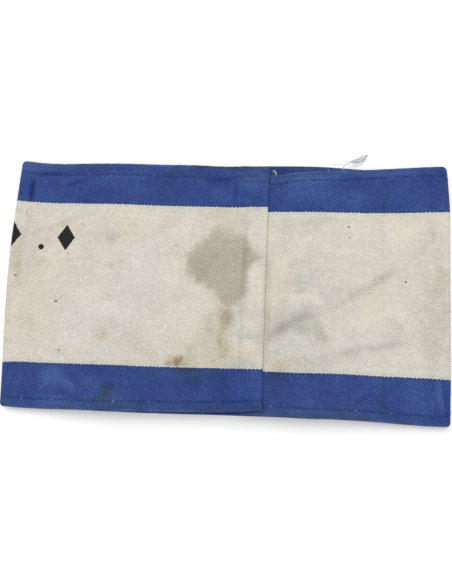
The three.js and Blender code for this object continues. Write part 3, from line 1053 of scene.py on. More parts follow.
STAIN_ROWS = {
    (Mark.WARM, LEFT): (
        (-74, -8, 12, 24, 0.85), (-18, -18, 19, 12, 0.36, 20), (-30, 24, 50, 7, 0.4), (-2, 26.5, 10, 5, 1.0),
        (2, -27.2, 7.2, 4.5, 1.0),
    ),
    (Mark.WARM, RIGHT): (
        (22.8, 8, 6, 16, 0.4), (79, -6, 8, 26, 0.35), (64, 2, 11, 6, 0.25, 33), (27, -26.2, 8, 3, 0.8),
    ),
    (Mark.PINK, LEFT): ((-64, 5, 14, 14, 0.8), (12.8, -22.6, 3, 2.6, 1.0, 0, 0.7)),
    (Mark.PINK, RIGHT): (
        (71.3, 21.7, 8, 6, 1.0, 0, 0.8), (42.4, -23.5, 3.2, 2.2, 1.0, 30, 0.7), (56, -10, 16, 8, 0.8, 20),
        (50, 12, 12, 8, 0.6, 30),
    ),
    (Mark.COOL, LEFT): ((-46, -14, 24, 15, 0.95, 15), (-29, 8.5, 18, 12, 0.95, 10), (-80, -27, 8, 6, 0.7)),
    (Mark.COOL, RIGHT): ((33, -24, 14, 6, 0.8), (52, 22, 14, 6, 0.8), (70, -16, 10, 5, 0.8)),
    (Mark.OLIVE, LEFT): (
        (-39.2, 19.5, 5.5, 2.6, 0.56, 35, 0.8), (-23.8, 22, 2.8, 1.8, 0.42, -20, 0.8),
        (-75.5, -16, 4, 6.5, 0.48, 20, 0.8), (-10.9, -24.2, 1, 2.2, 0.5, -15, 0.8),
        (-51.1, 9.6, 1.4, 1, 0.55, 0, 0.8), (-81.5, 11, 2.2, 8, 0.34, 0, 0.8), (-73, 21, 5, 2.2, 0.4, 25),
        (-56, 9, 12, 1.2, 0.25, 5), (5.6, -27.2, 6, 3.6, 0.42), (-3, -29.6, 7, 2.4, 0.66),
        (-15, 10.5, 3, 4.4, 0.42), (8, -10, 2.6, 3.4, 0.34),
    ),
    (Mark.OLIVE, RIGHT): (
        (24, 16, 4, 3, 0.3, 30), (22, -1, 3.6, 3, 0.3, 20), (82, 6, 2, 10, 0.35, 15),
        (75.5, 8.5, 5, 4, 0.34),
    ),
    # The grey rows are mostly painted shade: beside the allowance's ridge, along creases and beside the seam.
    (Mark.GREY, LEFT): (
        (-8.5, 5, 5.5, 4.5, 0.34), (-41, -18.5, 8, 4, 0.36), (-77, 15, 8, 17, 0.34),
        (-52, 18, 9, 4, 0.28, 10), (-37, -24, 8, 4, 0.3), (13, -10.5, 4, 4, 0.34),
        (12, -19.5, 6, 1.8, 0.6, 0, 0.8), (-26.8, -26.8, 5.5, 2.2, 0.4, -5, 0.8),
        (-44.2, 6.8, 2.4, 1.7, 0.55, 0, 0.8), (-39.6, 8.2, 2.6, 1.2, 0.42, 20, 0.8),
        (8.8, 15, 1.3, 17, 0.62, 0, 0.8), (8.2, -18, 1.1, 15, 0.46, 0, 0.8), (-17, -39, 11, 8, 0.55),
        (-40, -34.5, 12, 3, 0.3), (-48, -43, 9, 4, 0.4, 20), (-69, 42, 6, 7, 0.45),
        (-45, 37, 6, 4, 0.35, 20), (-18, 39, 11, 10, 0.42), (8, 44, 5, 4, 0.5), (13, 33, 4, 4, 0.42),
        (9, -2, 2, 6, 0.5), (13.8, 11.5, 2.8, 4.5, 0.7), (8, 25.5, 2.2, 6, 0.42), (4.2, 23.5, 2.6, 1.4, 0.4),
        (-4, -18, 2.8, 7.5, 0.4), (5.8, -13, 2.4, 8.5, 0.36), (15.5, -19, 1.8, 6, 0.6),
        (-31.8, -23.5, 5, 5, 0.45), (-10, -27.5, 18, 3.4, 0.26), (-58.5, -35.2, 4, 3, 0.4),
        (-30, -29.9, 12, 2, 0.44), (9, -29.9, 9, 2.2, 0.52), (-36.1, -20.4, 3, 2, 0.62),
        (-60.5, -28.2, 4, 2.6, 0.34), (-45.4, -5.4, 4, 5, 0.26), (-62, -6, 5, 5, 0.22),
        (-44, 17.6, 2.8, 2.6, 0.5),
    ),
    # Mostly painted shade: along creases, by the right fold and beside the seam.
    (Mark.GREY, RIGHT): (
        (22.5, -11.5, 6, 4, 0.7, 10), (31.8, 2.5, 7, 4.6, 0.54, 15), (28, -12, 10, 4.6, 0.6, 28),
        (23.5, -22, 9.5, 6, 0.3, 20), (43, -1.8, 7, 3.6, 0.46, 20), (33, -27.5, 17, 5, 0.52),
        (80, -12, 7, 22, 0.52), (22, -40, 8, 8, 0.35), (53, -42.5, 11, 4, 0.34), (83.5, -38, 3, 11, 0.38),
        (33, 25, 8, 1.8, 0.26, 12, 0.8), (57, -22.5, 9, 1.4, 0.24, 10, 0.8), (62, 5, 6, 1.6, 0.26, 36, 0.8),
        (38.5, 0, 8, 4, 0.32, 15), (35, -20, 5, 4, 0.36), (48.9, -25, 5, 3.5, 0.45),
        (31.6, -16.4, 4, 3.6, 0.95), (23.6, -7.2, 3, 2.8, 0.4), (30, 8.3, 6, 3, 0.32, 20),
        (29.9, -1.2, 3, 2.4, 0.62), (62.2, -17.2, 4.5, 2.6, 0.42), (66.2, -12.8, 3, 2.6, 0.34),
        (41.5, 25.5, 4.5, 2, 0.3), (20.8, -19.6, 4.6, 2.6, 0.52), (22.2, -25.2, 3.8, 2.6, 0.56),
        (23.3, 23.6, 3.4, 2.8, 0.36), (76.6, 20.6, 5, 3, 0.34), (30, -22.5, 4.4, 2.8, 0.46),
    ),
    (Mark.TAN, LEFT): (
        (0.3, -20.5, 1.2, 6, 0.44, -2), (1.8, -24, 1.6, 4, 0.36), (-80.3, 4.5, 1.2, 6.5, 0.32, 0, 0.8),
        (-15.8, -29.4, 5, 2.2, 0.66, 0, 0.8), (-45.9, -20.9, 3.6, 1.8, 0.42, -10),
        (-66.9, 25.2, 1.4, 1, 0.3), (-83.8, 2, 2.5, 30, 0.22),
    ),
    (Mark.TAN, RIGHT): (
        # The last row here is painted shade along the seam's edge.
        (22.6, -30.2, 3.8, 2.8, 0.34, 0, 0.8), (84.5, -3, 4.5, 20, 0.1), (18, 5, 1, 26, 0.2),
    ),
    (Mark.GOLD, LEFT): (
        (0, -19, 6, 14, 1.0), (-8, -24, 7, 6, 0.6), (0, 27, 11, 4.5, 0.3), (10, -26.2, 6.6, 5.8, 0.32),
    ),
    (Mark.DAMP, LEFT): ((-0.3, 19.6, 5.8, 3.4, 0.66),),
    (Mark.PALE, LEFT): (
        (12.6, 4, 3.4, 26, 0.8, 0, 0.8), (-19, -12.4, 5, 4, 0.7), (-48, -8, 14, 4, 0.5),
        (0, 21.5, 6, 4, 0.6), (7, 16.8, 2.6, 2.6, 1.3), (-3, 16.6, 2.8, 2.6, 1.1),
    ),
    (Mark.PALE, RIGHT): (
        (57, -8, 10, 6, 0.6, 25), (64, 23.5, 13, 6.5, 1.0), (48, 10.5, 8, 5, 0.45, 30),
        (30, 17.8, 5, 2.6, 0.9), (70, -24, 10, 4, 0.7), (66, 30.4, 24, 1.7, 1.0),
    ),
    (Mark.SOIL, LEFT): (
        (-42.1, -41.3, 3.6, 2, 0.8, 40, 0.8), (-43.2, -44.2, 4.2, 2.6, 0.72, 30),
        (-8.5, -35.8, 2.2, 3.2, 0.5, 10), (-11.5, -33, 7, 1.3, 0.58), (-7.2, -34.8, 2.4, 2.2, 0.46),
        (-16.4, -33.2, 2.6, 1.4, 0.5), (1.8, -36.2, 1.9, 4, 0.36), (2, 46.7, 26, 1.3, 0.75, 0, 0.8),
        (-60, 48, 20, 1.6, 0.35, 0, 0.8), (-16, 44, 12, 1.6, 0.3), (-79, 38, 0.9, 6, 0.4),
        (-47, 40, 4, 1.6, 0.25, 20), (0, -46.6, 22, 1.6, 0.35), (-40, -47, 15, 2, 0.35),
        # The first row here is painted shade along the seam's edge.
        (17, 0, 0.5, 70, 0.34), (-3, -34.2, 6, 2.2, 0.24),
    ),
    (Mark.SOIL, RIGHT): (
        (60.8, -41.2, 1.7, 10, 0.24), (61.7, 38, 1.6, 9, 0.2), (23.2, -34.5, 3, 2.2, 0.3),
        (47, -46.5, 6, 2, 0.3), (40, -47.8, 30, 1.4, 0.35, 0, 0.8),
    ),
    (Mark.SOIL, Layer.LOWER): ((19.5, 52.6, 5.6, 2.2, 0.52, 0, 0.7), (33, 50.5, 9, 0.8, 0.45, 0, 0.8)),
    (Mark.RUST, LEFT): ((-42.6, -42, 1.8, 1, 0.06, 40),),
    (Mark.BROWN, LEFT): (
        (0.3, -22.2, 0.6, 1.8, 0.36), (1.8, -27, 0.9, 0.6, 0.18, 40), (-15.6, -30, 2.2, 1.8, 0.8, 25, 0.8),
        (-18.6, -30.6, 2.4, 1, 0.58, 0, 0.8), (-14.2, -28.8, 1.2, 1.4, 0.6, 0, 0.8),
        (-12.8, -30.6, 2, 0.8, 0.3, 0, 0.8),
    ),
    (Mark.WORN, LEFT): (
        (-63.2, -37.5, 5, 4, 0.55), (-57, -40.5, 6, 2, 0.35, -30), (-50, -38.5, 5, 3.5, 0.22, -20),
        (-42, -45, 11, 1.6, 0.28, -8), (-42, 42.5, 12, 3, 0.22, 10), (-62, 48, 20, 1.6, 0.3),
        (11, 41.5, 5, 5, 0.3), (0, 35, 5, 4, 0.28), (-81.5, 47.5, 5, 2.4, 0.35), (-60.5, -46.5, 8, 3, 0.42),
    ),
    (Mark.WORN, RIGHT): (
        (33, 42, 14, 2.4, 0.45, 4), (36, 37, 14, 5, 0.16), (81.6, -39.5, 1.2, 6, 0.75, 8),
        (62, 46, 16, 1.6, 0.25), (74.5, -41, 7, 6, 0.2), (50, 36, 7, 4, 0.22),
    ),
}
STAINS = [Stain(*kind, *metres(row[:4]), *row[4:]) for kind, rows in STAIN_ROWS.items() for row in rows]


@dataclass(frozen=True)
class OutlinedStain:
    """A stain with an outline of its own, given by its corners in millimetres, in order."""

    mark: Mark
    layer: Layer
    strength: float
    softness: float
    corners: tuple[Pair, ...]

    def depth(self, places: np.ndarray, corners: np.ndarray) -> np.ndarray:
        """Measures how far inside the outline points lie.

        Args:
            places: The points.
            corners: The outline's corners, in the same terms as the points.

        Returns:
            Distances from the outline, below 0 outside it.
        """
        away = np.full(len(places), np.inf)
        inside = np.zeros(len(places), dtype=bool)
        for start, end in zip(corners, np.roll(corners, -1, axis=0)):
            side = end - start
            share = np.clip((places - start) @ side / (side @ side), 0.0, 1.0)
            away = np.minimum(away, np.linalg.norm(places - start - share[:, None] * side, axis=1))
            spans = (places[:, 1] < start[1]) != (places[:, 1] < end[1])
            rise = side[1] if side[1] else 1.0
            inside ^= spans & (places[:, 0] < start[0] + side[0] * (places[:, 1] - start[1]) / rise)
        return np.where(inside, away, -away)


OUTLINED_STAINS = (
    OutlinedStain(
        Mark.DAMP, LEFT, 0.82, 0.24,
        (
            (4.6, -6.6), (4.3, -9), (5.1, -11.4), (5.1, -14.4), (3.6, -17.1), (1.4, -17.8), (0.1, -15.2),
            (-0.5, -12.2), (0.6, -9.4), (0.8, -6.6),
        ),
    ),
    OutlinedStain(
        Mark.DAMP, LEFT, 0.84, 0.26,
        (
            (-0.2, 23.6), (3.1, 21.5), (5.8, 20.2), (8.8, 19.2), (10.4, 16.6), (12.3, 13.6), (14.7, 11.2),
            (12.8, 8.6), (10.6, 6), (10.2, 3), (9.9, 0.1), (9.3, -2.8), (8, -5), (6, -6.6), (4.4, -8.4),
            (2.4, -8.8), (1, -7.2), (0, -4.6), (-2.2, -3), (-5.1, -1.7), (-9.6, 0.6), (-12, 3),
            (-13.8, 5.5), (-14.6, 8.8), (-13.2, 12.4), (-11.1, 15), (-7.4, 18.6), (-3.6, 21.5),
        ),
    ),
)


@dataclass(frozen=True)
class Speck:
    """A dark speck too small for the fields of stains: stretch, middle, half sizes and strength."""

    layer: Layer
    x: float
    y: float
    half_length: float
    half_width: float
    strength: float


SPECKS = [
    Speck(layer, *metres(row[:4]), *row[4:])
    for layer, *row in (
        (LEFT, -64.7, -8.1, 0.65, 0.45, 0.85), (LEFT, -81.5, 2.1, 0.65, 0.5, 0.7),
        (LEFT, -56.3, 22.9, 0.6, 0.4, 0.55), (LEFT, -61.9, -27, 0.4, 0.35, 0.7),
        (LEFT, -61.5, 11, 0.35, 0.3, 0.6), (LEFT, -18.3, 15, 0.45, 0.35, 0.6),
        (LEFT, -80, 28, 0.6, 0.35, 0.5), (RIGHT, 69.2, 3.3, 0.45, 0.4, 0.9),
        (RIGHT, 48.1, 23.8, 0.6, 0.45, 0.65), (RIGHT, 48.3, 19.6, 0.5, 0.4, 0.5),
    )
]


@dataclass(frozen=True)
class PrintedMark:
    """A plain printed lozenge or dot: place of its middle, half sizes and roundness of its outline."""

    x: float
    y: float
    half_width: float
    half_height: float
    roundness: float


PRINTED_MARKS = [
    PrintedMark(*metres(row[:4]), *row[4:])
    for row in (
        (-62.7, 17.5, 3.6, 5.4, 1.0),
        (-72.4, 13.8, 1.12, 1.12, 2.0),
        (-85, 19, 4.2, 5.6, 1.0),
    )
]


@dataclass(frozen=True)
class DrillFinish:
    """Colours, weave and wear of one side of the striped drill.

    Widths are measured on the flat cloth, and the two colours of a tint are its cool and its warm end. A
    pair whose name ends in _line is a slope and what is added, one whose name ends in _ease is where a
    smooth step starts and ends, and a _share is how much of a colour is laid on.
    """

    name: str
    marked: bool = True
    cream: Colour = (0.713, 0.688, 0.618, 1.0)
    # Painted shade in the grooves between the yarns and ribs.
    cream_groove: Colour = (0.405, 0.370, 0.305, 1.0)
    cream_tint: tuple[Colour, Colour] = ((0.993, 1.0, 1.008, 1.0), (1.006, 0.998, 0.988, 1.0))
    blue: Colour = (0.0150, 0.0342, 0.177, 1.0)
    blue_weft: Colour = (0.115, 0.202, 0.405, 1.0)
    blue_tint: tuple[Colour, Colour] = ((0.92, 0.96, 1.04, 1.0), (1.06, 1.08, 0.95, 1.0))
    border: Colour = (0.52, 0.56, 0.71, 1.0)
    border_dark: Colour = (0.034, 0.050, 0.095, 1.0)
    border_grime: Colour = (0.80, 0.82, 0.85, 1.0)
    edge_dirt: Colour = (0.026, 0.044, 0.070, 1.0)
    # Dirt and painted shade along the creases.
    crease_grime: Colour = (0.62, 0.61, 0.59, 1.0)
    hem_grime: Colour = (0.100, 0.115, 0.100, 1.0)
    # Painted shade in the groove beside the stitch line.
    stitch_shade: Colour = (0.48, 0.50, 0.58, 1.0)
    ink: Colour = (0.009, 0.009, 0.010, 1.0)
    speck: Colour = (0.10, 0.085, 0.065, 1.0)
    ends: float = 3430.0
    picks: float = 2070.0
    stripe_edge: float = 0.0320
    border_width: float = 0.00045
    dark_width: float = 0.00070
    grime_width: float = 0.0017
    border_share: float = 0.6
    border_dark_share: float = 0.62
    border_grime_share: float = 0.5
    crease_grime_share: float = 0.42
    hem_grime_share: float = 0.07
    ink_share: float = 0.985
    nep_share: float = 0.40
    low_yarn_ease: Pair = (0.15, 0.75)
    low_yarn_groove: float = 0.55
    rib_groove: float = 1.25
    groove_line: Pair = (0.52, 0.38)
    groove_chance: float = 0.27
    tint_ease: Pair = (-0.16, 0.16)
    weft_in_blue: float = 0.40
    weft_by_wear: float = 0.9
    weft_by_patch: float = 0.5
    weft_chance_line: Pair = (0.7, 0.80)
    weft_line: Pair = (0.7, 0.45)
    rubbed: float = 0.10
    # Painted shade of the blue where its yarns lie low.
    blue_height_line: Pair = (1.00, 0.40)
    yarn_line: Pair = (0.10, 0.95)
    unevenness: tuple[tuple[str, float], ...] = (("Broad", 0.20), ("Middling", 0.20), ("Fine", 0.05))
    edge_wear_ease: Pair = (0.0001, 0.0011)
    edge_wear_line: Pair = (3.0, 0.6)
    broad_wear: float = 0.9
    crease_cover: float = 0.6
    dirt_ease: Pair = (0.0, 0.0016)
    dirt_line: Pair = (-2.0, 0.22)
    hem_ease: Pair = (0.0006, 0.0040)
    stitch_ease: Pair = (0.0001, 0.00080)
    stitch_line: Pair = (1.6, 0.46)
    caught_line: Pair = (1.40, 0.46)
    sheen: float = 0.04
    sheen_roughness: float = 0.6
    gloss: float = 0.10
    roughness_line: Pair = (0.12, 0.90)
    nap: float = 0.6
    bump_height: float = 0.00010
    bump_strength: float = 0.8

    def build(self, shape: StripShape, effects: ClothEffects) -> bpy.types.Material:
        """Makes the material.

        Args:
            shape: The strip, for the places of stains and marks on the flat cloth.
            effects: The shared node groups.

        Returns:
            The material.
        """
        inputs = {"Sheen Roughness": self.sheen_roughness}
        inputs |= {"Sheen Weight": self.sheen, "Specular IOR Level": self.gloss}
        material, tree, shader = new_material(self.name, inputs)
        nodes = DrillNodes(self, shape, effects, tree)
        colour = nodes.woven()
        if self.marked:
            colour = nodes.printed(colour)
        tree.put(nodes.stained(colour), shader.inputs["Base Color"])
        tree.put(tree.line(nodes.mottle["Fine"], *self.roughness_line), shader.inputs["Roughness"])
        height = tree.line(nodes.mottle["Fine"], self.nap, nodes.weave["Height"])
        tree.put(tree.bump(height, self.bump_height, self.bump_strength), shader.inputs["Normal"])
        return material


@dataclass
class DrillNodes:
    """The nodes that give one drill material its colour, layer by layer."""

    finish: DrillFinish
    shape: StripShape
    effects: ClothEffects
    tree: Tree

    def __post_init__(self) -> None:
        """Adds what the layers share: the weave, the unevenness, the cloth's edges, creases and grooves."""
        finish, tree = self.finish, self.tree
        self.cloth = tree.node("ShaderNodeUVMap", uv_map=CLOTH_MAP).outputs[0]
        self.weave = tree.use(self.effects.weave, Cloth=self.cloth, Ends=finish.ends, Picks=finish.picks)
        self.mottle = tree.use(self.effects.mottle, Cloth=self.cloth)
        self.edge = tree.attribute(EDGE_ATTRIBUTE)
        self.crease = tree.attribute(CREASE_ATTRIBUTE)
        # How deep each spot lies between yarns and ribs: it sets the painted shade of the cream's grooves and
        # how much stain each spot catches.
        low = tree.fade(self.weave["Height"], *finish.low_yarn_ease)
        ribs = tree.times(self.weave["Between Ribs"], finish.rib_groove)
        patchy = tree.line(self.mottle["Fine"], *finish.groove_line)
        depth = tree.line(self.weave["Chance"], finish.groove_chance, patchy)
        self.groove = tree.times(tree.line(low, finish.low_yarn_groove, ribs), depth, clamp=True)

    def mask(self, mark: Mark) -> Socket:
        """Gives how strongly a kind of mark shows, from its field on the cloth.

        Args:
            mark: The kind of mark.

        Returns:
            Its strength.
        """
        places = self.tree.attribute(mark.attribute, "Vector")
        wander, reach = mark.value[2:]
        shown = self.tree.use(self.effects.stain, Field=places, Wander=self.mottle[wander], Reach=reach)
        return shown["Mask"]

    def wear(self) -> Socket:
        """Gives how much the blue is rubbed: at the folded edges, along creases and in patches.

        Returns:
            The wear, from below 0 where the blue is deepest.
        """
        finish, tree, mottle = self.finish, self.tree, self.mottle
        at_edge = tree.fade(self.edge, *finish.edge_wear_ease)
        wear = tree.times(at_edge, tree.line(mottle["Middling"], *finish.edge_wear_line))
        wear = tree.line(mottle["Broad"], finish.broad_wear, wear)
        wear = tree.less(wear, tree.times(self.crease, finish.crease_cover))
        return tree.math("ADD", wear, self.mask(Mark.WORN))

    def cream(self, from_middle: Socket, warm: Socket) -> Socket:
        """Gives the cream cloth between the stripes, with painted shade in its grooves and its greyed
        borders.

        Args:
            from_middle: Distance from the band's middle, end by end.
            warm: From 0 where the cloth is cool to 1 where it is warm.

        Returns:
            The colour.
        """
        finish, tree = self.finish, self.tree
        # Painted shade in the grooves between the yarns and ribs.
        cream = tree.mix(self.groove, finish.cream, finish.cream_groove)
        cream = tree.mix(1.0, cream, tree.mix(warm, *finish.cream_tint), "MULTIPLY")
        beside = tree.less(finish.stripe_edge, from_middle)
        beside = tree.fade(beside, finish.border_width, finish.grime_width)
        beside = tree.times(beside, finish.border_grime_share)
        cream = tree.mix(beside, cream, finish.border_grime, "MULTIPLY")
        in_border = tree.math("GREATER_THAN", from_middle, finish.stripe_edge - finish.border_width)
        return tree.mix(tree.times(in_border, finish.border_share), cream, finish.border)

    def blue(self, from_middle: Socket, warm: Socket) -> Socket:
        """Gives the blue stripes: a dark warp with painted shade where its yarns lie low, and a paler weft
        that shows most where they are rubbed.

        Args:
            from_middle: Distance from the band's middle, end by end.
            warm: From 0 where the cloth is cool to 1 where it is warm.

        Returns:
            The colour.
        """
        finish, tree, weave = self.finish, self.tree, self.weave
        wear = self.wear()
        shows = tree.line(wear, finish.weft_by_wear, finish.weft_in_blue)
        shows = tree.line(self.mottle["Fine"], finish.weft_by_patch, shows)
        shows = tree.times(shows, tree.line(weave["Chance"], *finish.weft_chance_line))
        weft = tree.times(weave["Weft"], tree.line(weave["Between Ribs"], *finish.weft_line))
        weft = tree.times(weft, shows, clamp=True)
        rubbed = tree.times(wear, finish.rubbed, clamp=True)
        # Painted shade of the blue where its yarns lie low.
        blue = tree.mix(1.0, finish.blue, tree.line(weave["Height"], *finish.blue_height_line), "MULTIPLY")
        blue = tree.mix(1.0, blue, tree.mix(warm, *finish.blue_tint), "MULTIPLY")
        blue = tree.mix(tree.math("ADD", weft, rubbed, clamp=True), blue, finish.blue_weft)
        at_border = tree.math("LESS_THAN", from_middle, finish.stripe_edge + finish.dark_width)
        blue = tree.mix(tree.times(at_border, finish.border_dark_share), blue, finish.border_dark)
        first_end = tree.math("LESS_THAN", from_middle, finish.stripe_edge + 1.0 / finish.ends)
        gap = tree.times(tree.times(first_end, weave["Weft"]), weave["Chance"])
        return tree.mix(gap, blue, finish.border)

    def woven(self) -> Socket:
        """Gives the colour of the striped cloth before it is printed or stained.

        Returns:
            The colour.
        """
        finish, tree = self.finish, self.tree
        end = tree.math("FLOOR", tree.times(tree.split(self.cloth)[1], finish.ends))
        from_middle = tree.math("ABSOLUTE", tree.math("DIVIDE", end, finish.ends))
        in_stripe = tree.math("GREATER_THAN", from_middle, finish.stripe_edge)
        warm = tree.ease(self.mottle["Tint"], *finish.tint_ease)
        colour = tree.mix(in_stripe, self.cream(from_middle, warm), self.blue(from_middle, warm))
        uneven: object = 1.0
        for name, share in finish.unevenness:
            uneven = tree.line(self.mottle[name], share, uneven)
        yarn = tree.line(self.weave["Yarn"], *finish.yarn_line)
        return tree.mix(1.0, colour, tree.times(yarn, uneven), "MULTIPLY")

    def printed(self, colour: Socket) -> Socket:
        """Prints the plain lozenges on the cloth.

        Args:
            colour: The cloth's colour.

        Returns:
            The colour with the ink on it.
        """
        ink: object = 0.0
        for mark in PRINTED_MARKS:
            u, v = self.shape.cloth_place(LEFT, mark.x, mark.y)
            shown = self.tree.use(
                self.effects.lozenge, Cloth=self.cloth, Middle_U=u, Middle_V=v, Half_Width=mark.half_width,
                Half_Height=mark.half_height, Roundness=mark.roundness, Height=self.weave["Height"],
            )
            ink = self.tree.math("MAXIMUM", shown["Ink"], ink)
        return self.tree.mix(self.tree.times(ink, self.finish.ink_share), colour, self.finish.ink)

    def stained(self, colour: Socket) -> Socket:
        """Lays the neps, the dirt and painted shade of creases, the dirt of the edges, the painted shade
        beside the stitching, and the stains over the cloth; some stains are painted shade.

        Args:
            colour: The cloth's colour.

        Returns:
            The stained colour.
        """
        finish, tree, mottle = self.finish, self.tree, self.mottle
        colour = tree.mix(tree.times(mottle["Neps"], finish.nep_share), colour, finish.speck)
        # Dirt and painted shade along the creases.
        grime_and_shade_in_creases = tree.times(self.crease, finish.crease_grime_share, clamp=True)
        colour = tree.mix(grime_and_shade_in_creases, colour, finish.crease_grime, "MULTIPLY")
        dirty = tree.fade(self.edge, *finish.dirt_ease)
        dirty = tree.times(dirty, tree.line(mottle["Middling"], *finish.dirt_line))
        colour = tree.mix(tree.math("MAXIMUM", dirty, 0.0), colour, finish.edge_dirt)
        hem = tree.times(tree.fade(self.edge, *finish.hem_ease), finish.hem_grime_share)
        colour = tree.mix(hem, colour, finish.hem_grime)
        # Painted shade in the groove beside the stitch line, made uneven by the mottle.
        beside = tree.math("ABSOLUTE", tree.attribute(STITCH_ATTRIBUTE))
        uneven = tree.line(mottle["Middling"], *finish.stitch_line)
        stitch_groove_shade = tree.times(tree.fade(beside, *finish.stitch_ease), uneven, clamp=True)
        colour = tree.mix(stitch_groove_shade, colour, finish.stitch_shade, "MULTIPLY")
        caught = tree.line(self.groove, *finish.caught_line)
        for mark in Mark:
            tint, blend = mark.value[:2]
            if tint:
                colour = tree.mix(tree.times(self.mask(mark), caught), colour, tint, blend)
        for speck in SPECKS:
            u, v = self.shape.cloth_place(speck.layer, speck.x, speck.y)
            spot = tree.use(
                self.effects.speck, Cloth=self.cloth, Middle_U=u, Middle_V=v, Half_Length=speck.half_length,
                Half_Width=speck.half_width, Strength=speck.strength,
            )
            colour = tree.mix(spot["Mask"], colour, finish.speck)
        return colour


@dataclass(frozen=True)
class ThreadFinish:
    """Colour, sheen and nap of one kind of cotton thread."""

    name: str
    colour: Colour
    shade: Colour
    sheen: float = 0.04
    gloss: float = 0.10
    roughness: float = 0.8
    nap_scale: float = 2600.0
    nap_detail: float = 3.0
    nap_rough: float = 0.6
    nap_ease: Pair = (0.35, 0.65)
    nap_height: float = 0.00005
    nap_strength: float = 0.5

    def build(self) -> bpy.types.Material:
        """Makes the material, with a fine uneven nap.

        Returns:
            The material.
        """
        inputs = {"Roughness": self.roughness}
        inputs |= {"Sheen Weight": self.sheen, "Specular IOR Level": self.gloss}
        material, tree, shader = new_material(self.name, inputs)
        place = tree.node("ShaderNodeTexCoord").outputs["Object"]
        uneven = tree.noise(place, self.nap_scale, self.nap_detail, self.nap_rough)
        colour = tree.mix(tree.ease(uneven, *self.nap_ease), self.shade, self.colour)
        tree.put(colour, shader.inputs["Base Color"])
        tree.put(tree.bump(uneven, self.nap_height, self.nap_strength), shader.inputs["Normal"])
        return material


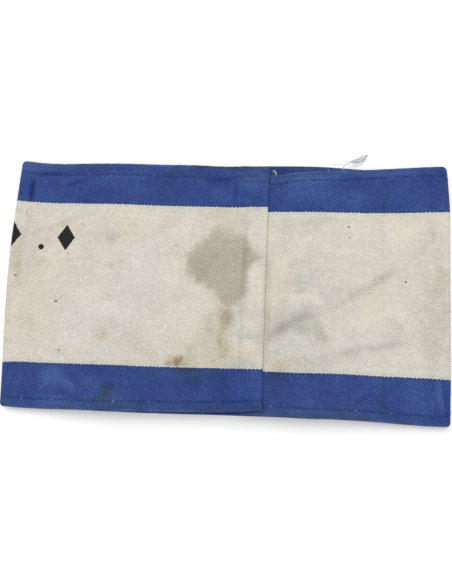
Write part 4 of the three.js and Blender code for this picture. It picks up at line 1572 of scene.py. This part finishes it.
@dataclass
class BandCloth:
    """The strip of drill, as one closed sheet with turned hems and a turned-under end.

    The steps and columns set how fine its mesh is. stain_reach is how far round an outlined stain its
    field spreads, merge_power how sharply one stain gives way to the next, least_weight what all stains
    together weigh where there are none, hidden_from the distance past the folded edge at which the cloth
    is out of sight, and out_of_reach a distance that no wear or dirt reaches. map_gap and reverse_scale
    lay out the bake map.
    """

    shape: StripShape
    effects: ClothEffects
    panel_step: float = 0.00085
    lower_step: float = 0.0020
    fold_steps: int = 14
    seam_steps: int = 8
    allowance_steps: int = 8
    middle_columns: int = 84
    hem_columns: int = 11
    turned_columns: int = 6
    bend_columns: int = 6
    stain_reach: float = 0.010
    merge_power: int = 8
    least_weight: float = 1e-12
    hidden_from: float = 0.001
    out_of_reach: float = 0.01
    map_gap: float = 0.002
    reverse_scale: float = 0.45
    smooth_angle: float = 50.0
    face: DrillFinish = DrillFinish("drill_face")
    reverse: DrillFinish = DrillFinish(
        "drill_reverse", marked=False, blue=(0.16, 0.21, 0.36, 1.0), blue_weft=(0.42, 0.46, 0.55, 1.0)
    )

    def alongs(self) -> list[float]:
        """Chooses where along the cloth it has a row of points.

        Returns:
            Distances along the cloth.
        """
        places: list[float] = []
        for layer, length in self.shape.route.items():
            count = {
                Layer.RIGHT_FOLD: self.fold_steps,
                Layer.LEFT_FOLD: self.fold_steps,
                Layer.LOWER: math.ceil(length / self.lower_step),
                Layer.SEAM_FOLD: self.seam_steps,
                Layer.ALLOWANCE: self.allowance_steps,
            }.get(layer, math.ceil(length / self.panel_step))
            start = self.shape.start_of(layer)
            places += [start + length * step / count for step in range(count)]
        return [*places, self.shape.length]

    def columns(self) -> Columns:
        """Chooses points across the cloth: bottom hem, bend, main layer, bend and top hem.

        Returns:
            The points.
        """
        sizes = self.shape.sizes
        radius = sizes.ply / 2
        shallow, deep = sizes.thickness / 2, sizes.thickness / 2 + sizes.ply
        start = sizes.thickness / 2 + radius
        held: list[Point] = []
        for step in range(self.turned_columns):
            share = step / self.turned_columns
            place = sizes.hem_depth + (start - sizes.hem_depth) * share
            held.append((place, deep, place - start + math.pi * radius))
        for step in range(self.bend_columns + 1):
            angle = math.pi * step / self.bend_columns
            place = start - radius * math.sin(angle)
            inset = (shallow + deep) / 2 + radius * math.cos(angle)
            held.append((place, inset, (math.pi - angle) * radius if step < self.bend_columns else 0.0))
        for step in range(1, self.hem_columns):
            share = step / self.hem_columns
            held.append((start + (sizes.hem_depth - start) * share, shallow, 0.0))
        middle = [(step / self.middle_columns, shallow, 0.0) for step in range(self.middle_columns + 1)]
        sides = ((-1, held), (0, middle), (1, held[::-1]))
        table = np.array([(side, *point) for side, points in sides for point in points], dtype=float)
        return Columns(side=table[:, 0], place=table[:, 1], inset=table[:, 2], turned=table[:, 3])

    def build(self) -> bpy.types.Object:
        """Makes the cloth and dresses it.

        Returns:
            The finished sheet.
        """
        columns = self.columns()
        stations = [self.shape.station(along) for along in self.alongs()]
        points = np.concatenate([self.shape.points(station, columns) for station in stations])
        places = np.concatenate([self.shape.weave_place(station, columns) for station in stations])
        width = len(columns.side)
        faces = [
            (row * width + i, (row + 1) * width + i, (row + 1) * width + i + 1, row * width + i + 1)
            for row in range(len(stations) - 1)
            for i in range(width - 1)
        ]
        cloth = mesh_object("band_cloth", points, faces)
        self.add_maps(cloth, stations, columns, places)
        self.thicken(cloth)
        return cloth

    def add_maps(
        self, cloth: bpy.types.Object, stations: Sequence[Station], columns: Columns, places: np.ndarray
    ) -> None:
        """Gives the sheet its flat-cloth map, its distance from the long edges, and its creases.

        Args:
            cloth: The sheet, still one surface.
            stations: Its rows.
            columns: Its columns.
            places: Place of each point on the flat cloth.
        """
        mesh = cloth.data
        corners = np.empty(len(mesh.loops), dtype=np.int32)
        mesh.loops.foreach_get("vertex_index", corners)
        layer = mesh.uv_layers.new(name=CLOTH_MAP)
        layer.uv.foreach_set("vector", places[corners].astype(np.float32).ravel())
        edges, grimes_and_shades, stitches = [], [], []
        for station in stations:
            y, depth = self.shape.across(station, columns)
            past_edge, hidden = columns.turned > 0, columns.turned > self.hidden_from
            edges.append(np.where(past_edge, 0.0, depth) + np.where(hidden, self.out_of_reach, 0.0))
            stitches.append(np.where(past_edge, self.out_of_reach, self.shape.past_stitch(station, y, depth)))
            # Darkening along the creases: dirt and painted shade.
            grimes_and_shades.append(self.shape.crease_at(station.layer, np.full_like(y, station.x), y)[1])
        for name, values in (
            (EDGE_ATTRIBUTE, edges), (CREASE_ATTRIBUTE, grimes_and_shades), (STITCH_ATTRIBUTE, stitches)
        ):
            attribute = mesh.attributes.new(name=name, type="FLOAT", domain="POINT")
            attribute.data.foreach_set("value", np.concatenate(values).astype(np.float32))
        for mark in Mark:
            attribute = mesh.attributes.new(name=mark.attribute, type="FLOAT_VECTOR", domain="POINT")
            attribute.data.foreach_set("vector", self.stain_field(mark, places).astype(np.float32).ravel())

    def stain_field(self, mark: Mark, places: np.ndarray) -> np.ndarray:
        """Works out where one kind of stain lies.

        Args:
            mark: The kind of stain.
            places: Place of each point on the flat cloth.

        Returns:
            For each point, its nearness to the middle of a stain, that stain's strength and its softness.
        """
        nearest, strength, softness = np.zeros((3, len(places)))
        weights = np.full(len(places), self.least_weight)
        found: list[tuple[Stain | OutlinedStain, np.ndarray]] = []
        for stain in STAINS:
            if stain.mark is mark:
                u, v = self.shape.cloth_place(stain.layer, stain.x, stain.y)
                found.append((stain, stain.nearness(places[:, 0] - u, places[:, 1] - v)))
        for stain in OUTLINED_STAINS:
            if stain.mark is mark:
                outline = [self.shape.cloth_place(stain.layer, *metres(corner)) for corner in stain.corners]
                corners = np.array(outline)
                depth = stain.depth(places, corners)
                found.append((stain, np.clip(0.5 + depth / (2 * self.stain_reach), 0, 1)))
        for stain, near in found:
            weight = near**self.merge_power
            nearest = np.maximum(nearest, near)
            weights += weight
            strength += stain.strength * weight
            softness += stain.softness * weight
        return np.stack([nearest, strength / weights, softness / weights], axis=1)

    def thicken(self, cloth: bpy.types.Object) -> None:
        """Gives the sheet its thickness, its two finishes and smooth shading.

        Args:
            cloth: The sheet, still one surface.
        """
        for finish in (self.face, self.reverse):
            cloth.data.materials.append(finish.build(self.shape, self.effects))
        solid = cloth.modifiers.new("cloth thickness", "SOLIDIFY")
        solid.thickness = self.shape.sizes.thickness
        solid.offset = 0.0
        solid.material_offset = 1
        apply_all(cloth)
        self.add_bake_map(cloth)
        pick(cloth)
        bpy.ops.object.shade_smooth_by_angle(angle=math.radians(self.smooth_angle))

    def add_bake_map(self, cloth: bpy.types.Object) -> None:
        """Lays the cloth out flat on the bake map: its face as two strips, its reverse smaller beside them.

        Args:
            cloth: The closed sheet.
        """
        mesh = cloth.data
        places = np.empty(2 * len(mesh.loops), dtype=np.float32)
        mesh.uv_layers[CLOTH_MAP].uv.foreach_get("vector", places)
        along, across = places[0::2], places[1::2] - places[1::2].min()
        counts, finishes = np.empty((2, len(mesh.polygons)), dtype=np.int32)
        mesh.polygons.foreach_get("loop_total", counts)
        mesh.polygons.foreach_get("material_index", finishes)
        owner = np.repeat(np.arange(len(counts)), counts)
        half, width = self.shape.length / 2, across.max()
        gap, scale = self.map_gap, self.reverse_scale
        far = (np.bincount(owner, weights=along) / counts > half)[owner]
        inside = (finishes == 1)[owner]
        right = np.where(inside, half + gap + across * scale, along - half * far)
        up = np.where(inside, along * scale, across + (width + gap) * far)
        side = max(half + gap + width * scale, 2 * width + gap) + 2 * gap
        laid = (np.stack([right, up], axis=1) + gap) / side
        mesh.uv_layers.new(name=BAKE_MAP).uv.foreach_set("vector", laid.astype(np.float32).ravel())


@dataclass
class Stitches:
    """Shared making of a stitch and of rows of stitches, each one bent length of thread.

    lift is how far a stitch's middle stands out, taper the share of its width that its ends lose, dive how
    many radii they go down, and cuts where its length is divided.
    """

    radius: float = 0.00016
    length: float = 0.0019
    pitch: float = 0.0025
    lift: float = 0.00006
    taper: float = 0.45
    dive: float = 1.6
    cuts: tuple[float, ...] = (-0.75, -0.4, 0.0, 0.4, 0.75)
    sides: int = 8
    smooth_angle: float = 60.0

    def model_stitch(self) -> tuple[np.ndarray, list[tuple[int, ...]]]:
        """Models one stitch along X: a round thread whose ends dive into the cloth.

        Returns:
            Its points and its faces.
        """
        deselect_all()
        bpy.ops.mesh.primitive_cylinder_add(
            vertices=self.sides, radius=self.radius, depth=self.length, end_fill_type="NGON",
            rotation=(0.0, math.pi / 2, 0.0),
        )
        stitch = bpy.context.object
        bpy.ops.object.transform_apply(location=False, rotation=True, scale=False)
        half = self.length / 2
        for share in self.cuts:
            bpy.ops.object.mode_set(mode="EDIT")
            bpy.ops.mesh.select_all(action="SELECT")
            bpy.ops.mesh.bisect(plane_co=(half * share, 0.0, 0.0), plane_no=(1.0, 0.0, 0.0))
            bpy.ops.object.mode_set(mode="OBJECT")
        for vertex in stitch.data.vertices:
            bend = (abs(vertex.co.x) / half) ** 3
            narrow = 1 - self.taper * bend
            vertex.co.y *= narrow
            vertex.co.z = vertex.co.z * narrow - self.dive * self.radius * bend + self.lift
        points = np.array([vertex.co[:] for vertex in stitch.data.vertices])
        faces = [tuple(face.vertices) for face in stitch.data.polygons]
        bpy.data.objects.remove(stitch, do_unlink=True)
        return points, faces

    def row(self, name: str, places: Sequence[Matrix], finish: bpy.types.Material) -> bpy.types.Object:
        """Copies the stitch to each place and joins the copies.

        Args:
            name: The row's name.
            places: Where each stitch lies: its X runs along the thread and its Z out of the cloth.
            finish: The thread's material.

        Returns:
            The row, as one object.
        """
        points, faces = self.model_stitch()
        homogeneous = np.column_stack([points, np.ones(len(points))])
        placed = [homogeneous @ np.array(place).T for place in places]
        all_points = np.concatenate(placed)[:, :3]
        all_faces = [
            tuple(corner + copy * len(points) for corner in face)
            for copy in range(len(places))
            for face in faces
        ]
        row = mesh_object(name, all_points, all_faces)
        row.data.materials.append(finish)
        pick(row)
        bpy.ops.object.shade_smooth_by_angle(angle=math.radians(self.smooth_angle))
        return row


WORN_THREAD = {
    Edge.TOP: {LEFT: (-55.0, -28.4, 7.8, 15.0), RIGHT: (32.0, 64.6, 72.8)},
    Edge.BOTTOM: {LEFT: (-76.0, -63.4, -39.1, -25.3, 0.8), RIGHT: (19.7, 50.8, 64.0)},
}


@dataclass
class HemStitching:
    """The machine stitching that holds one hem, on the cloth's face and on the turned hem inside.

    worn gives the places, in millimetres, where short worn ends of thread show. pressed_in is how far the
    cloth's weight sinks the stitches on the floor, drift and drift_scale say how the line wanders, inward
    is the short step that finds the cloth's slope, and worn_lift how far the worn ends stand out.
    """

    shape: StripShape
    edge: Edge
    finish: bpy.types.Material
    worn: Mapping[Layer, Sequence[float]]
    stitches: Stitches = field(default_factory=Stitches)
    worn_ends: Stitches = field(default_factory=lambda: Stitches(radius=0.00014, length=0.0011))
    pressed_in: float = 0.00012
    drift: float = 0.00012
    drift_scale: float = 160.0
    inward: float = 0.0008
    worn_lift: float = 0.00006

    def point(self, along: float, inset: float, more: float = 0.0) -> Vector:
        """Finds a point of the stitch line.

        Args:
            along: Distance along the cloth.
            inset: Depth under the outer face.
            more: How much further in from the edge than the line it lies.

        Returns:
            The point.
        """
        station = self.shape.station(along)
        line = station.section.stitch if self.edge is Edge.TOP else self.shape.sizes.bottom_stitch
        line += self.drift * noise.noise(Vector((along * self.drift_scale, float(self.edge.value), 0.0)))
        column = Columns(*(np.array([value]) for value in (self.edge.value, line + more, inset, 0.0)))
        return Vector(self.shape.points(station, column)[0])

    def place(self, along: float, inset: float, outward: float) -> Matrix:
        """Places a stitch on the cloth.

        Args:
            along: Distance along the cloth.
            inset: Depth of the thread's seat under the outer face.
            outward: 1 on the cloth's face, -1 on the inside of the loop.

        Returns:
            The stitch's frame.
        """
        reach = self.stitches.length / 2
        middle = self.point(along, inset)
        run = (self.point(along + reach, inset) - self.point(along - reach, inset)).normalized()
        side = (self.point(along, inset, self.inward) - middle).normalized()
        normal = run.cross(side) * -self.edge.value * outward
        pose = Matrix((run, normal.cross(run), normal)).transposed().to_4x4()
        pose.translation = middle
        return pose

    def build(self) -> bpy.types.Object:
        """Makes the hem's two rows of stitches.

        Returns:
            The stitching.
        """
        sizes, pitch = self.shape.sizes, self.stitches.pitch
        first = sizes.seam_edge - sizes.allowance_edge + pitch
        last = self.shape.start_of(Layer.SEAM_FOLD) - pitch / 2
        count = int((last - first) / pitch)
        lower_starts, lower_ends = (self.shape.start_of(layer) for layer in (Layer.LOWER, Layer.LEFT_FOLD))
        places = []
        for step in range(count):
            along = first + pitch * step
            pressed = lower_starts - pitch < along < lower_ends + pitch
            places.append(self.place(along, self.pressed_in if pressed else 0.0, 1.0))
        inner = 2 * sizes.thickness + sizes.ply_gap
        places += [self.place(first + pitch * (step + 0.5), inner, -1.0) for step in range(count)]
        name = "upper_hem_stitches" if self.edge is Edge.TOP else "lower_hem_stitches"
        return self.stitches.row(name, places, self.finish)

    def build_worn(self, finish: bpy.types.Material) -> bpy.types.Object:
        """Makes the short worn ends of thread that show pale on the stitch line.

        Args:
            finish: The worn thread's material.

        Returns:
            The ends of thread.
        """
        alongs = [self.shape.along_at(layer, x) for layer, xs in self.worn.items() for x in metres(xs)]
        places = [self.place(along, -self.worn_lift, 1.0) for along in alongs]
        name = "upper_worn_thread" if self.edge is Edge.TOP else "lower_worn_thread"
        return self.worn_ends.row(name, places, finish)


@dataclass
class SeamStitching:
    """The row of stitches that joins the strip's two ends, seen only from inside the loop.

    from_edge is how far behind the seam's edge it runs, and end_margin how far it stops from the long edges.
    """

    shape: StripShape
    finish: bpy.types.Material
    from_edge: float = 0.0009
    end_margin: float = 0.0015
    stitches: Stitches = field(default_factory=Stitches)

    def build(self) -> bpy.types.Object:
        """Makes the seam's row of stitches, on the reverse of the right panel.

        Returns:
            The stitching.
        """
        shape = self.shape
        station = shape.station(shape.sizes.seam_edge - self.from_edge - shape.sizes.allowance_edge)
        low, high = station.section.bottom + self.end_margin, station.section.top - self.end_margin
        hem = shape.sizes.hem_depth
        count = int((high - low) / self.stitches.pitch)
        run, side, normal = (0.0, 1.0, 0.0), (1.0, 0.0, 0.0), (0.0, 0.0, -1.0)
        places = []
        for step in range(count):
            y = low + self.stitches.pitch * (step + 0.5)
            in_hem = min(y - station.section.bottom, station.section.top - y) < hem
            depth = shape.sizes.thickness * (2 if in_hem else 1) + (shape.sizes.ply_gap if in_hem else 0.0)
            pose = Matrix((run, side, normal)).transposed().to_4x4()
            pose.translation = (station.x + shape.seam_shift(y), y, station.z - depth)
            places.append(pose)
        return self.stitches.row("seam_stitches", places, self.finish)


@dataclass(frozen=True)
class Strand:
    """A free fibre or ply: the points that it passes and its radius, in millimetres."""

    points: tuple[Point, ...]
    radius: float


@dataclass
class LooseEnds:
    """Thread and fibres that have come loose at the edges, in millimetres.

    steps and roundness set how fine their meshes are. fibre_shares says where the fibres lie between the
    thread's two plies, and tuft_gap how far apart the seam's two frayed yarns are. The rest are radii.
    """

    finish: bpy.types.Material
    steps: int = 6
    roundness: int = 2
    upper_ply: float = 0.13
    lower_ply: float = 0.15
    ply_fibre: float = 0.08
    fibre_shares: tuple[float, ...] = (0.2, 0.4, 0.6, 0.8)
    loops: Pair = (0.04, 0.03)
    knot: float = 0.12
    tuft: Pair = (0.17, 0.14)
    tuft_gap: Point = (0.18, -0.24, -0.1)
    fray: float = 0.1

    def build_piece(self, name: str, strands: Sequence[Strand]) -> bpy.types.Object:
        """Makes a piece of smooth round strands.

        Args:
            name: The piece's name.
            strands: Its strands.

        Returns:
            The piece, as a mesh.
        """
        made = []
        for strand in strands:
            curve = bpy.data.curves.new(name, "CURVE")
            curve.dimensions = "3D"
            curve.resolution_u = self.steps
            curve.bevel_depth = strand.radius / 1000
            curve.bevel_resolution = self.roundness
            curve.use_fill_caps = True
            spline = curve.splines.new("BEZIER")
            spline.bezier_points.add(len(strand.points) - 1)
            for point, place in zip(spline.bezier_points, strand.points):
                point.co = metres(place)
                point.handle_left_type = point.handle_right_type = "AUTO"
            thing = bpy.data.objects.new(name, curve)
            bpy.context.scene.collection.objects.link(thing)
            pick(thing)
            bpy.ops.object.convert(target="MESH")
            made.append(bpy.context.object)
        deselect_all()
        for thing in made:
            thing.select_set(True)
        bpy.context.view_layer.objects.active = made[0]
        if len(made) > 1:
            bpy.ops.object.join()
        piece = bpy.context.object
        piece.name = name
        piece.data.materials.clear()
        piece.data.materials.append(self.finish)
        bpy.ops.object.shade_smooth()
        return piece

    def thread_end(self) -> bpy.types.Object:
        """Makes the loose end of the upper hem's thread, its plies opened and fluffed.

        Returns:
            The thread's end.
        """
        stem = ((45.7, 46.4, 5.8), (46, 47.9, 6), (46.8, 49, 4.6), (48, 50.3, 3.4), (49.3, 51.3, 2.7))
        upper = (*stem, (50.6, 52.2, 2.4), (52.3, 52.9, 2.1), (54.2, 54.3, 1.7), (56.2, 54.8, 1.4))
        lower = (
            *stem[3:], (50.8, 51.2, 2), (52.4, 51.7, 1.5), (54.1, 52.4, 1.1), (55.3, 53.6, 1),
            (56.1, 54.7, 1.2),
        )
        strands = [Strand(upper, self.upper_ply), Strand(lower, self.lower_ply), Strand(stem, self.lower_ply)]
        for share in self.fibre_shares:
            fibre = tuple(
                tuple(a + (b - a) * share for a, b in zip(over, under))
                for over, under in zip(upper[3:], lower)
            )
            strands.append(Strand(fibre, self.ply_fibre))
        return self.build_piece("loose_thread_end", strands)

    def edge_fuzz(self) -> bpy.types.Object:
        """Makes the fine fibres that loop off the upper edge, and a knot of one of them.

        Returns:
            The fibres.
        """
        first = ((39.6, 47.8, 2), (39.9, 49.1, 4), (41.7, 50.2, 3), (44.4, 50.3, 2.2), (47, 50.5, 2))
        second = ((40.3, 48, 2), (41, 49.3, 3.6), (42.6, 49.8, 3), (44.8, 49.8, 3), (47, 50.5, 2.2))
        knot = ((40.3, 47.7, 2.6), (40.5, 47.9, 2.8), (40.6, 47.7, 2.7))
        strands = [Strand(points, radius) for points, radius in zip((first, second), self.loops)]
        return self.build_piece("edge_fibre", [*strands, Strand(knot, self.knot)])

    def seam_tuft(self) -> bpy.types.Object:
        """Makes the frayed yarns where the seam meets the upper edge.

        Returns:
            The yarns.
        """
        bent = ((18.4, 45.3, 6.6), (19, 45.5, 7.3), (19.5, 45, 7.4), (19.5, 44.2, 7.2), (19.9, 43.6, 6.8))
        beside = tuple(tuple(a + b for a, b in zip(point, self.tuft_gap)) for point in bent)
        strands = [Strand(points, radius) for points, radius in zip((bent, beside), self.tuft)]
        return self.build_piece("seam_tuft", strands)

    def lower_fray(self) -> bpy.types.Object:
        """Makes the frayed yarns at the lower corner of the seam.

        Returns:
            The yarns.
        """
        base = (15, -46.2, 6.2)
        tips = ((15.5, -48.3, 5.2), (16, -48, 5.6), (14.6, -48.1, 5))
        middles = [tuple((a + b) / 2 for a, b in zip(base, tip)) for tip in tips]
        strands = [Strand((base, middle, tip), self.fray) for middle, tip in zip(middles, tips)]
        return self.build_piece("lower_fray", strands)


SEWING_THREAD = ThreadFinish("blue_thread", (0.036, 0.064, 0.22, 1.0), (0.015, 0.029, 0.12, 1.0))
LOOSE_THREAD = ThreadFinish(
    "pale_thread", (0.66, 0.70, 0.74, 1.0), (0.12, 0.16, 0.20, 1.0), sheen=0.2, gloss=0.25
)
RUBBED_THREAD = ThreadFinish("worn_thread", (0.27, 0.36, 0.56, 1.0), (0.09, 0.15, 0.31, 1.0))


@dataclass
class Armband:
    """The whole armband."""

    shape: StripShape = field(default_factory=StripShape)

    def build(self) -> None:
        """Builds and settles every piece."""
        effects = ClothEffects()
        blue_thread, pale_thread = SEWING_THREAD.build(), LOOSE_THREAD.build()
        worn_thread = RUBBED_THREAD.build()
        cloth = BandCloth(self.shape, effects).build()
        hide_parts(BAND_NODE)
        settle(cloth)
        hems = [HemStitching(self.shape, edge, blue_thread, WORN_THREAD[edge]) for edge in Edge]
        rows = [hem.build() for hem in hems]
        rows.append(SeamStitching(self.shape, blue_thread).build())
        for row in rows:
            settle(row)
        ends = LooseEnds(pale_thread)
        loose = [ends.thread_end(), ends.edge_fuzz(), ends.seam_tuft(), ends.lower_fray()]
        loose += [hem.build_worn(worn_thread) for hem in hems]
        for piece in loose:
            settle(piece)


@dataclass(frozen=True)
class SoftLight:
    """A square light that faces the object: where it hangs, its side, and its power in watts."""

    name: str
    place: Point
    side: float
    power: float

    def build(self) -> None:
        """Hangs the light."""
        data = bpy.data.lights.new(self.name, "AREA")
        data.shape = "SQUARE"
        data.size = self.side
        data.energy = self.power
        light = bpy.data.objects.new(self.name, data)
        light.location = self.place
        light.rotation_euler = (-Vector(self.place)).to_track_quat("-Z", "Y").to_euler()
        bpy.context.scene.collection.objects.link(light)


@dataclass
class Studio:
    """The floor, the light and the camera; the camera's focal length is in pixels, its turn in degrees."""

    image_height: float = 584.0
    focal_length_px: float = 500.0
    sensor: float = 36.0
    clip_start: float = 0.01
    camera_place: Point = (0.01511, -0.02874, 0.19528)
    camera_turn: Point = (7.944, 3.722, 2.180)
    floor_side: float = 3.0
    floor_colour: Colour = (0.93, 0.93, 0.93, 1.0)
    floor_roughness: float = 0.9
    room_colour: Colour = (1.0, 1.0, 1.0, 1.0)
    room_strength: float = 0.60
    lights: tuple[SoftLight, ...] = (
        SoftLight("window", (-0.26, 0.50, 0.92), 0.9, 7.6),
        SoftLight("fill", (0.60, -0.30, 0.90), 0.9, 3.0),
    )

    def build_floor(self) -> None:
        """Lays the pale floor under the object."""
        deselect_all()
        bpy.ops.mesh.primitive_plane_add(size=self.floor_side, location=(0.0, 0.0, 0.0))
        floor = bpy.context.object
        floor.name = "floor"
        inputs = {"Base Color": self.floor_colour, "Roughness": self.floor_roughness}
        material, _, _ = new_material("pale_floor", {**inputs, "Specular IOR Level": 0.0})
        floor.data.materials.append(material)

    def build_light(self) -> None:
        """Hangs the soft lights and sets the even light of the room."""
        world = bpy.data.worlds.new("room")
        world.use_nodes = True
        background = world.node_tree.nodes["Background"]
        background.inputs["Color"].default_value = self.room_colour
        background.inputs["Strength"].default_value = self.room_strength
        scene = bpy.context.scene
        scene.world = world
        scene.view_settings.view_transform = "Standard"
        for light in self.lights:
            light.build()

    def build_camera(self) -> None:
        """Places the camera above the object, as if held in the hand."""
        data = bpy.data.cameras.new("camera")
        data.sensor_width = self.sensor
        data.lens = self.focal_length_px * self.sensor / self.image_height
        data.clip_start = self.clip_start
        camera = bpy.data.objects.new("camera", data)
        camera.location = self.camera_place
        camera.rotation_euler = [math.radians(angle) for angle in self.camera_turn]
        bpy.context.scene.collection.objects.link(camera)
        bpy.context.scene.camera = camera

    def build(self) -> None:
        """Sets the whole stage."""
        self.build_camera()
        self.build_floor()
        self.build_light()


def main() -> None:
    """Builds the stage and the armband."""
    logging.basicConfig(level=logging.INFO, format="%(name)s: %(message)s")
    Studio().build()
    Armband().build()


if __name__ == "__main__":
    main()
